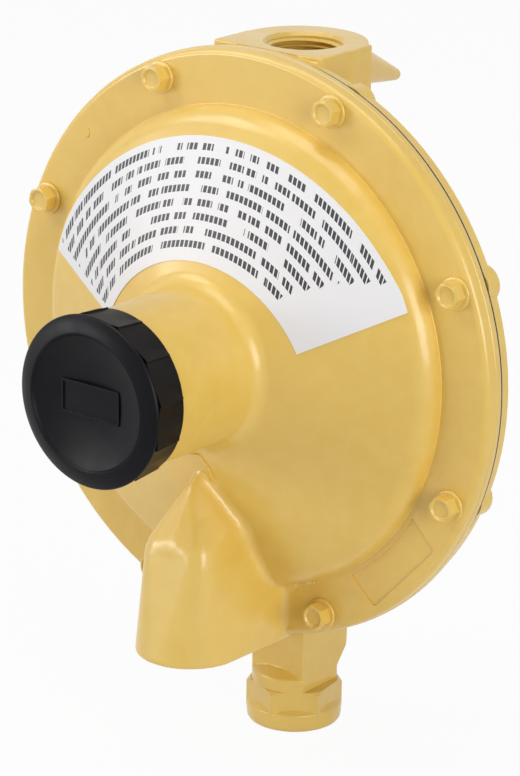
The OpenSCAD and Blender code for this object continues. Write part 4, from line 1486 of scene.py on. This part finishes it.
@dataclass
class ClosingCap:
    """Black closing cap: grip panels, front lip, concave dish and a bare raised panel."""

    finishes: Finishes
    back_h: float = 72.3
    front_h: float = 88.3
    core_r: float = 27.5
    lip_r: float = 28.7
    ring_inner_r: float = 22.5
    dish_depth: float = 4.0
    panels: int = 12
    panel_high_r: float = 28.95
    panel_low_r: float = 28.25
    panel_taper: float = 0.035
    plug_root_r: float = 21.6
    plug_crest_r: float = 22.25
    plate_half: tuple[float, float] = (12.2, 5.7)
    frame_half: tuple[float, float] = (11.3, 4.8)

    def dish(self) -> Points:
        """Section of the hollow front.

        Returns:
            (radius, height) points from its edge to the middle.
        """
        edge_r, edge_h = self.ring_inner_r - 0.5, self.front_h - 0.9
        drop = self.front_h - self.dish_depth
        sag = edge_h - drop
        radius = (edge_r ** 2 + sag ** 2) / (2.0 * sag)
        return [(edge_r * (1 - i / 16), drop + radius - math.sqrt(radius ** 2 - (edge_r * (1 - i / 16)) ** 2))
                for i in range(17)]

    def profile(self) -> Points:
        """Half outline of the cap.

        Returns:
            (radius, height) points from the middle of the plug round to the middle of the dish.
        """
        f, b, root = self.front_h, self.back_h, self.plug_root_r
        back = [(0.0, f - 5.6), (root - 2.4, f - 5.6), (root - 2.4, 70.0), (root - 0.5, 70.0), (root, 70.6),
                (root, 81.3), (26.35, 81.3), (26.35, b), (self.core_r, b)]
        front = [(self.core_r, f - 3.1), (self.lip_r - 0.25, f - 3.05), (self.lip_r, f - 2.8), (self.lip_r, f - 2.3),
                 (self.lip_r - 0.25, f - 1.85), (self.lip_r - 0.9, f - 1.45), (26.0, f - 0.72), (24.3, f - 0.26),
                 (23.3, f - 0.04), (22.95, f), (22.7, f - 0.06), (self.ring_inner_r, f - 0.3)]
        return back + front + self.dish()

    def grip(self) -> Shape:
        """Ratchet ring of flat grip panels, slightly narrower at the back.

        Returns:
            The closed ring.
        """
        step = FULL_TURN / self.panels
        outline = []
        for i in range(self.panels):
            start = math.radians(8.0) + i * step
            outline += [(self.panel_high_r * math.cos(start), self.panel_high_r * math.sin(start)),
                        (self.panel_low_r * math.cos(start + 0.985 * step),
                         self.panel_low_r * math.sin(start + 0.985 * step))]
        shape = Shape.prism(outline, self.back_h + 0.1, self.front_h - 3.9).eased(0.14, 2, 20.0)
        for v in shape.bm.verts:
            share = 0.965 + self.panel_taper * (v.co.z - self.back_h) / (self.front_h - self.back_h - 4.0)
            v.co.x, v.co.y = v.co.x * share, v.co.y * share
        return shape.less(Shape.drum(self.back_h - 1.0, self.front_h, 26.9))

    def nameless_plate(self) -> Shape:
        """Bare raised frame in the middle of the dish.

        Returns:
            The closed frame with its plate.
        """
        base = self.front_h - self.dish_depth
        plate, inner = ([(-x, -y), (x, -y), (x, y), (-x, y)] for x, y in (self.plate_half, self.frame_half))
        hollow = Shape.prism(inner, base + 0.95, base + 3.0, 0.4)
        return Shape.prism(plate, base - 0.8, base + 1.5, 0.7).less(hollow).eased(0.15, 2, 50.0)

    def build(self) -> None:
        """Builds the cap and its thread."""
        body = Shape.turned(self.profile(), 144).combined(self.grip(), Join.UNION)
        body = body.combined(self.nameless_plate(), Join.UNION)
        deliver(body, LAYOUT.spring_axis, self.finishes.plastic,
                Fitting("grip_cap", "cap", "black_plastic", ("closing_cap",)), 24.0)
        thread = Shape.thread(self.plug_root_r - 0.3, self.plug_crest_r, (70.9, 72.9, 72.1, 71.7), CAP_PITCH, 3)
        deliver(thread, LAYOUT.spring_axis, self.finishes.plastic, Fitting("cap_thread", "cap", "black_plastic"))


@dataclass
class DomeLabel:
    """Curved label on the dome's cone, cut round a centre below the spring axis.

    Attributes:
        finishes: the regulator's materials.
        drop: how far its centre lies below the spring axis.
        inner_r: radius of its inner edge round that centre.
        outer_r: radius of its outer edge round that centre.
        left: angle of its left end in degrees.
        right: angle of its right end in degrees.
        outermost: radius round the spring axis at which it is cut off.
        gap: how far above the dome its back lies.
        film: how thick it is.
    """

    finishes: Finishes
    drop: float = 10.0
    inner_r: float = 44.2
    outer_r: float = 83.0
    left: float = 67.5
    right: float = 62.3
    outermost: float = 78.2
    gap: float = 0.04
    film: float = 0.24

    def on_cone(self, u: float, v: float) -> Vector:
        """Place of a point of the label's grid on the cone.

        Args:
            u: share of the way from its left end to its right end.
            v: share of the way from its inner edge to its outer edge.

        Returns:
            The place in the spring axis frame.
        """
        angle = math.radians(-self.left + (self.left + self.right) * u)
        radius = self.inner_r + (self.outer_r - self.inner_r) * v
        x, y = radius * math.sin(angle), radius * math.cos(angle) - self.drop
        from_axis = math.hypot(x, y)
        if from_axis > self.outermost:
            x, y = x * self.outermost / from_axis, y * self.outermost / from_axis
            from_axis = self.outermost
        return Vector((x, y, LAYOUT.dome_h(from_axis) + self.gap))

    def build(self) -> None:
        """Builds the label."""
        shape = Shape()
        bmesh.ops.create_grid(shape.bm, x_segments=96, y_segments=24, size=0.5)
        for v in shape.bm.verts:
            v.co = self.on_cone(v.co.x + 0.5, v.co.y + 0.5)
        shape.raised(self.film)
        deliver(shape.cleaned(), LAYOUT.spring_axis, self.finishes.film,
                Fitting("dome_label", "body", "white_vinyl", ("label",)))


# ---------------------------------------------------------------- inside


@dataclass
class DiaphragmSet:
    """Reinforced diaphragm, whose roll lies between the casing and the plates, and the rubber seats."""

    finishes: Finishes
    sectors: int = 16
    half_t: float = 0.6
    rim_r: float = 77.3
    middle_r: float = 53.4
    hole_r: float = 7.05
    roll_mid: float = 65.35
    roll_half: float = 11.85
    roll_r: float = 12.776
    roll_centre: float = -4.776

    def roll_half_section(self, inner: bool) -> Points:
        """Closed section of one half of the roll.

        Args:
            inner: whether it is the inner half.

        Returns:
            (radius, height) points of the section.
        """
        sign = -1.0 if inner else 1.0
        top = [(self.roll_r + self.half_t, self.half_t), (self.roll_r - self.half_t, -self.half_t)]
        rows = []
        for radius, level in top:
            reach = math.acos((level - self.roll_centre) / radius)
            rows.append([(self.roll_mid + sign * radius * math.sin(reach * i / 8),
                          self.roll_centre + radius * math.cos(reach * i / 8)) for i in range(9)])
        return rows[0] + rows[1][::-1]

    def rings(self) -> None:
        """Builds the rim between the castings and the flat middle under the plates. The rim's dark bead in the seam is
        partly the diaphragm's own edge and partly painted shade of the gap between the castings.
        """
        t, cloth = self.half_t, self.finishes.cloth_rubber
        seam, low, high = LAYOUT.seam_r, LAYOUT.seam_low + 0.03, LAYOUT.seam_high - 0.03
        # The bead stands out into the seam past both castings, so its dark rubber draws the parting line: partly the
        # diaphragm's own edge, partly painted shade of the gap.
        outer = Shape.turned([(self.rim_r, -t), (seam - 0.15, -t), (seam - 0.1, low), (seam + 2.0, low),
                              (seam + 2.1, low + 0.1), (seam + 2.1, high - 0.1), (seam + 2.0, high),
                              (seam - 0.45, high), (seam - 0.45, t), (self.rim_r, t)], 160)
        outer = outer.less(Shape.block((-23.9, 80.0, 0.62), (20.8, 110.0, 4.0)))
        deliver(outer, LAYOUT.spring_axis, cloth, Fitting("diaphragm_rim", "body", "nitrile", ("diaphragm",)))
        hole, edge = self.hole_r, self.middle_r
        middle = Shape.turned([(hole, -t), (edge, -t), (edge, t), (hole, t)], 96)
        deliver(middle, LAYOUT.spring_axis, cloth, Fitting("diaphragm_middle", "plates", "nitrile", ("diaphragm",)))

    def roll(self) -> None:
        """Builds the roll's sectors, in an outer and an inner half, each riding on no body."""
        sweep = FULL_TURN / self.sectors
        for inner, bodies in ((False, ("body", "stem")), (True, ("stem", "plates"))):
            side = "inner" if inner else "outer"
            for i in range(self.sectors):
                shape = Shape.sector(self.roll_half_section(inner), i * sweep, sweep, 4)
                piece = deliver(shape, LAYOUT.spring_axis, self.finishes.cloth_rubber,
                                Fitting(f"diaphragm_{side}_{i + 1:02d}", "", "nitrile", ("diaphragm",)))
                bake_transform(piece)

    def seats(self) -> None:
        """Builds the relief seat, the valve seat and the cap's seal."""
        gap, plate, nib, play = 0.05, 1.6, 0.3, 0.1
        top = -self.half_t - gap - plate - nib - play
        relief = Shape.turned([(2.55, top - 2.0), (8.3, top - 2.0), (8.5, top - 1.8), (8.5, top - 0.25), (8.25, top),
                               (2.55, top)], 64)
        deliver(relief, LAYOUT.spring_axis, self.finishes.rubber,
                Fitting("relief_seat_disc", "stem", "nitrile", ("relief_disc",)))
        valve = Shape.turned([(0.0, -74.48), (4.8, -74.48), (5.0, -74.28), (5.0, -72.0), (0.0, -71.98)], 48)
        deliver(valve.placed(LAYOUT.upright()), LAYOUT.spring_axis, self.finishes.rubber,
                Fitting("valve_seat_disc", "disc", "nitrile", ("seat_disc",)))
        seal = Shape.turned([(22.75, 80.05), (25.5, 80.05), (25.6, 80.25), (25.6, 81.05), (25.5, 81.25),
                             (22.75, 81.25), (22.65, 81.05), (22.65, 80.25)], 96)
        deliver(seal, LAYOUT.spring_axis, self.finishes.rubber,
                Fitting("cap_seal_ring", "cap_lead", "nitrile", ("cap_gasket",)))

    def build(self) -> None:
        """Builds the rings, the roll and the seats."""
        self.rings()
        self.roll()
        self.seats()


@dataclass
class Springs:
    """Main spring in three lengths, and the relief spring."""

    finishes: Finishes
    main_r: float = 15.5
    main_wire: float = 1.6
    closed_pitch: float = 3.7
    open_pitch: float = 5.7857
    low: float = 3.9
    relief_r: float = 6.2
    relief_wire: float = 0.7
    relief_span: tuple[float, float] = (3.0, 19.3)

    def wound(self, name: str, stands_for: str, coil: Shape) -> None:
        """Delivers a coil that rides on no body.

        Args:
            name: the piece's name.
            stands_for: the CAD node it replaces.
            coil: the wound form.
        """
        piece = deliver(coil, LAYOUT.spring_axis, self.finishes.metals[Metal.WIRE],
                        Fitting(name, "", "spring_steel", (stands_for,)))
        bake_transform(piece)

    def build(self) -> None:
        """Builds both springs."""
        third = [self.closed_pitch, self.open_pitch, self.open_pitch]
        plan = (("main_spring_low", third, ("plates", "stem")),
                ("main_spring_middle", [self.open_pitch] * 3, ("stem", "body")),
                ("main_spring_high", third[::-1], ("body", "seat")))
        height = self.low
        for name, pitches, bodies in plan:
            coil = Shape.coil(self.main_r, self.main_wire, height, pitches)
            top = height + sum(pitches)
            self.wound(name, "main_spring", coil)
            height = top
        coil = Shape.coil(self.relief_r, self.relief_wire, self.relief_span[0], [1.9] + [2.5] * 5 + [1.9])
        self.wound("relief_spring_coil", "relief_spring", coil)


@dataclass
class VentScreen:
    """Woven wire disc above the vent's mouth."""

    finishes: Finishes
    height: float = -84.6
    radius: float = 11.4
    pitch: float = 1.5
    wire: float = 0.22
    vent_h: float = 35.5

    def build(self) -> None:
        """Builds the crossed wires."""
        shape = Shape()
        count = int(self.radius / self.pitch)
        lift = 0.16
        for layer, turn in ((-lift, 0.0), (lift, math.pi / 2)):
            for i in range(-count, count + 1):
                reach = math.sqrt(self.radius ** 2 - (i * self.pitch) ** 2)
                rod = Shape.drum(-reach, reach, self.wire, segments=8)
                lay = Matrix.Rotation(turn, 4, "Z") @ Matrix.Translation((i * self.pitch, 0.0, layer))
                shape.beside(rod.placed(lay @ Matrix.Rotation(math.pi / 2, 4, "X")))
        place = LAYOUT.upright(0.0, self.vent_h) @ Matrix.Translation((0.0, 0.0, self.height))
        deliver(shape.placed(place), LAYOUT.spring_axis, self.finishes.metals[Metal.MESH],
                Fitting("vent_mesh", "body", "mesh_steel", ("vent_screen",)))


@dataclass
class InnerTrim:
    """Inner pieces that keep their CAD form and get their own metal or nylon."""

    finishes: Finishes
    metals: dict[str, Metal] = field(default_factory=lambda: {
        "pressure_plate": Metal.PLATED, "backing_plate": Metal.PLATED, "relief_stem": Metal.BRASS,
        "relief_retainer": Metal.BRASS, "spring_seat": Metal.PLATED, "adjusting_screw": Metal.BRASS,
        "nozzle": Metal.BRASS, "disc_holder": Metal.BRASS, "lever": Metal.PLATED, "lever_pin": Metal.PLATED,
        "lever_bracket": Metal.PLATED, "bracket_screws": Metal.PLATED, "vent_screen_ring": Metal.BRASS,
        "pressure_tap_plug": Metal.BRASS})

    def dress(self, node: str, material: bpy.types.Material) -> None:
        """Puts a material on a CAD node.

        Args:
            node: the node's name.
            material: its finish.
        """
        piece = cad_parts[node]
        if not piece.material_slots:
            piece.data.materials.append(material)
        for slot in piece.material_slots:
            slot.material = material
        LOG.info("%s: dressed in %s", node, material.name)

    def build(self) -> None:
        """Dresses every piece."""
        for node, kind in self.metals.items():
            self.dress(node, self.finishes.metals[kind])
        self.dress("valve_guide", self.finishes.nylon)


# ---------------------------------------------------------------- studio


@dataclass(frozen=True)
class Softbox:
    """One soft lamp: where it stands, its size and its power."""

    name: str
    place: tuple[float, float, float]
    width: float
    height: float
    power: float

    def light(self, target: Vector) -> None:
        """Sets the lamp up.

        Args:
            target: the point that it is aimed at.
        """
        data = bpy.data.lights.new(self.name, "AREA")
        data.shape, data.size, data.size_y, data.energy = "RECTANGLE", self.width, self.height, self.power
        lamp = stood(self.name, data)
        lamp.location = self.place
        lamp.rotation_euler = (target - Vector(self.place)).to_track_quat("-Z", "Y").to_euler()


@dataclass
class Studio:
    """Camera, pale floor, pale world and four softboxes.

    Attributes:
        eye: where the camera stands.
        view: which way it looks.
        right: which way lies on its right.
        lens: its focal length in millimetres.
        aim: the point that the lamps are aimed at.
        room_light: strength of the world's own light.
        floor_white: how much of the floor's own white is seen, the rest being lit floor with shadows.
        boxes: the lamps.
    """

    eye: tuple[float, float, float] = (0.69210, -0.88801, 0.49690)
    view: tuple[float, float, float] = (-0.59189, 0.741206, -0.316669)
    right: tuple[float, float, float] = (0.778828, 0.627123, 0.01203)
    lens: float = 161.41
    aim: tuple[float, float, float] = (0.0, -0.03, 0.13)
    room_light: float = 0.18
    floor_white: float = 0.95
    boxes: tuple[Softbox, ...] = (
        Softbox("over_box", (0.0, -0.25, 1.60), 1.2, 1.0, 9.2),
        Softbox("left_box", (-1.0, -0.8, 1.20), 0.8, 0.8, 8.4),
        Softbox("low_box", (-1.10, -1.20, 0.30), 0.8, 0.35, 6.6),
        Softbox("right_box", (1.45, -0.55, 0.48), 0.9, 0.85, 13.2))

    def camera(self) -> None:
        """Puts the camera at its place and angle."""
        data = bpy.data.cameras.new("camera")
        data.sensor_width, data.lens, data.clip_start, data.clip_end = 36.0, self.lens, 0.05, 50.0
        camera = stood("camera", data)
        back = -Vector(self.view)
        right = (Vector(self.right) - back * Vector(self.right).dot(back)).normalized()
        turn = Matrix((right, back.cross(right), back)).transposed()
        camera.matrix_world = Matrix.Translation(self.eye) @ turn.to_4x4()
        bpy.context.scene.camera = camera

    @staticmethod
    def seen_directly(tree: bpy.types.NodeTree) -> Socket:
        """Tells rays that show a thing from rays that only carry its light.

        Args:
            tree: the node tree that the nodes go into.

        Returns:
            A value that is 1 for camera, glossy and transmission rays.
        """
        path = tree.nodes.new("ShaderNodeLightPath")
        value = path.outputs["Is Camera Ray"]
        for name in ("Is Glossy Ray", "Is Transmission Ray"):
            either = tree.nodes.new("ShaderNodeMath")
            either.operation = "MAXIMUM"
            tree.links.new(value, either.inputs[0])
            tree.links.new(path.outputs[name], either.inputs[1])
            value = either.outputs[0]
        return value

    def world(self) -> None:
        """Makes an even pale world that is white where it is seen."""
        world = bpy.data.worlds.new("pale_room")
        world.use_nodes = True
        tree = world.node_tree
        tree.nodes.clear()
        room, white = (tree.nodes.new("ShaderNodeBackground") for _ in range(2))
        room.inputs[0].default_value, room.inputs[1].default_value = (0.98, 0.99, 1.0, 1.0), self.room_light
        white.inputs[0].default_value, white.inputs[1].default_value = (1.0, 1.0, 1.0, 1.0), 1.0
        mix, out = tree.nodes.new("ShaderNodeMixShader"), tree.nodes.new("ShaderNodeOutputWorld")
        tree.links.new(self.seen_directly(tree), mix.inputs[0])
        tree.links.new(room.outputs[0], mix.inputs[1])
        tree.links.new(white.outputs[0], mix.inputs[2])
        tree.links.new(mix.outputs[0], out.inputs[0])
        bpy.context.scene.world = world

    def floor(self) -> None:
        """Lays a wide pale floor just under the inlet's mouth, white where it is seen."""
        shape = Shape()
        bmesh.ops.create_grid(shape.bm, x_segments=1, y_segments=1, size=12.0,
                              matrix=Matrix.Translation((0.0, 0.0, -0.0005)))
        mesh = bpy.data.meshes.new("floor")
        shape.bm.to_mesh(mesh)
        floor = stood("floor", mesh)
        sheet = NodeSheet("pale_floor")
        sheet.fix(Base_Color=(0.72, 0.72, 0.72, 1.0), Roughness=0.9)
        glow = sheet.add("ShaderNodeEmission", Color=(1.0, 1.0, 1.0, 1.0), Strength=1.0)
        mix = sheet.add("ShaderNodeMixShader")
        share = sheet.math("MULTIPLY", self.seen_directly(sheet.tree), self.floor_white)
        sheet.link(share, mix.inputs[0])
        sheet.link(sheet.shader.outputs[0], mix.inputs[1])
        sheet.link(glow.outputs[0], mix.inputs[2])
        sheet.link(mix.outputs[0], sheet.output.inputs[0])
        mesh.materials.append(sheet.material)

    def build(self) -> None:
        """Sets the whole studio up."""
        self.camera()
        self.world()
        self.floor()
        for box in self.boxes:
            box.light(Vector(self.aim))
        bpy.context.scene.view_settings.view_transform = "Standard"


def main() -> None:
    """Builds the studio and every sub-assembly in order."""
    logging.basicConfig(level=logging.INFO, format="%(name)s: %(message)s")
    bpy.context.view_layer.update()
    Studio().build()
    finishes = Finishes()
    for assembly in (Bonnet, RearCasing, FlangeScrews, InletFitting, ClosingCap, DomeLabel, DiaphragmSet, Springs,
                     VentScreen, InnerTrim):
        assembly(finishes).build()


if __name__ == "__main__":
    main()
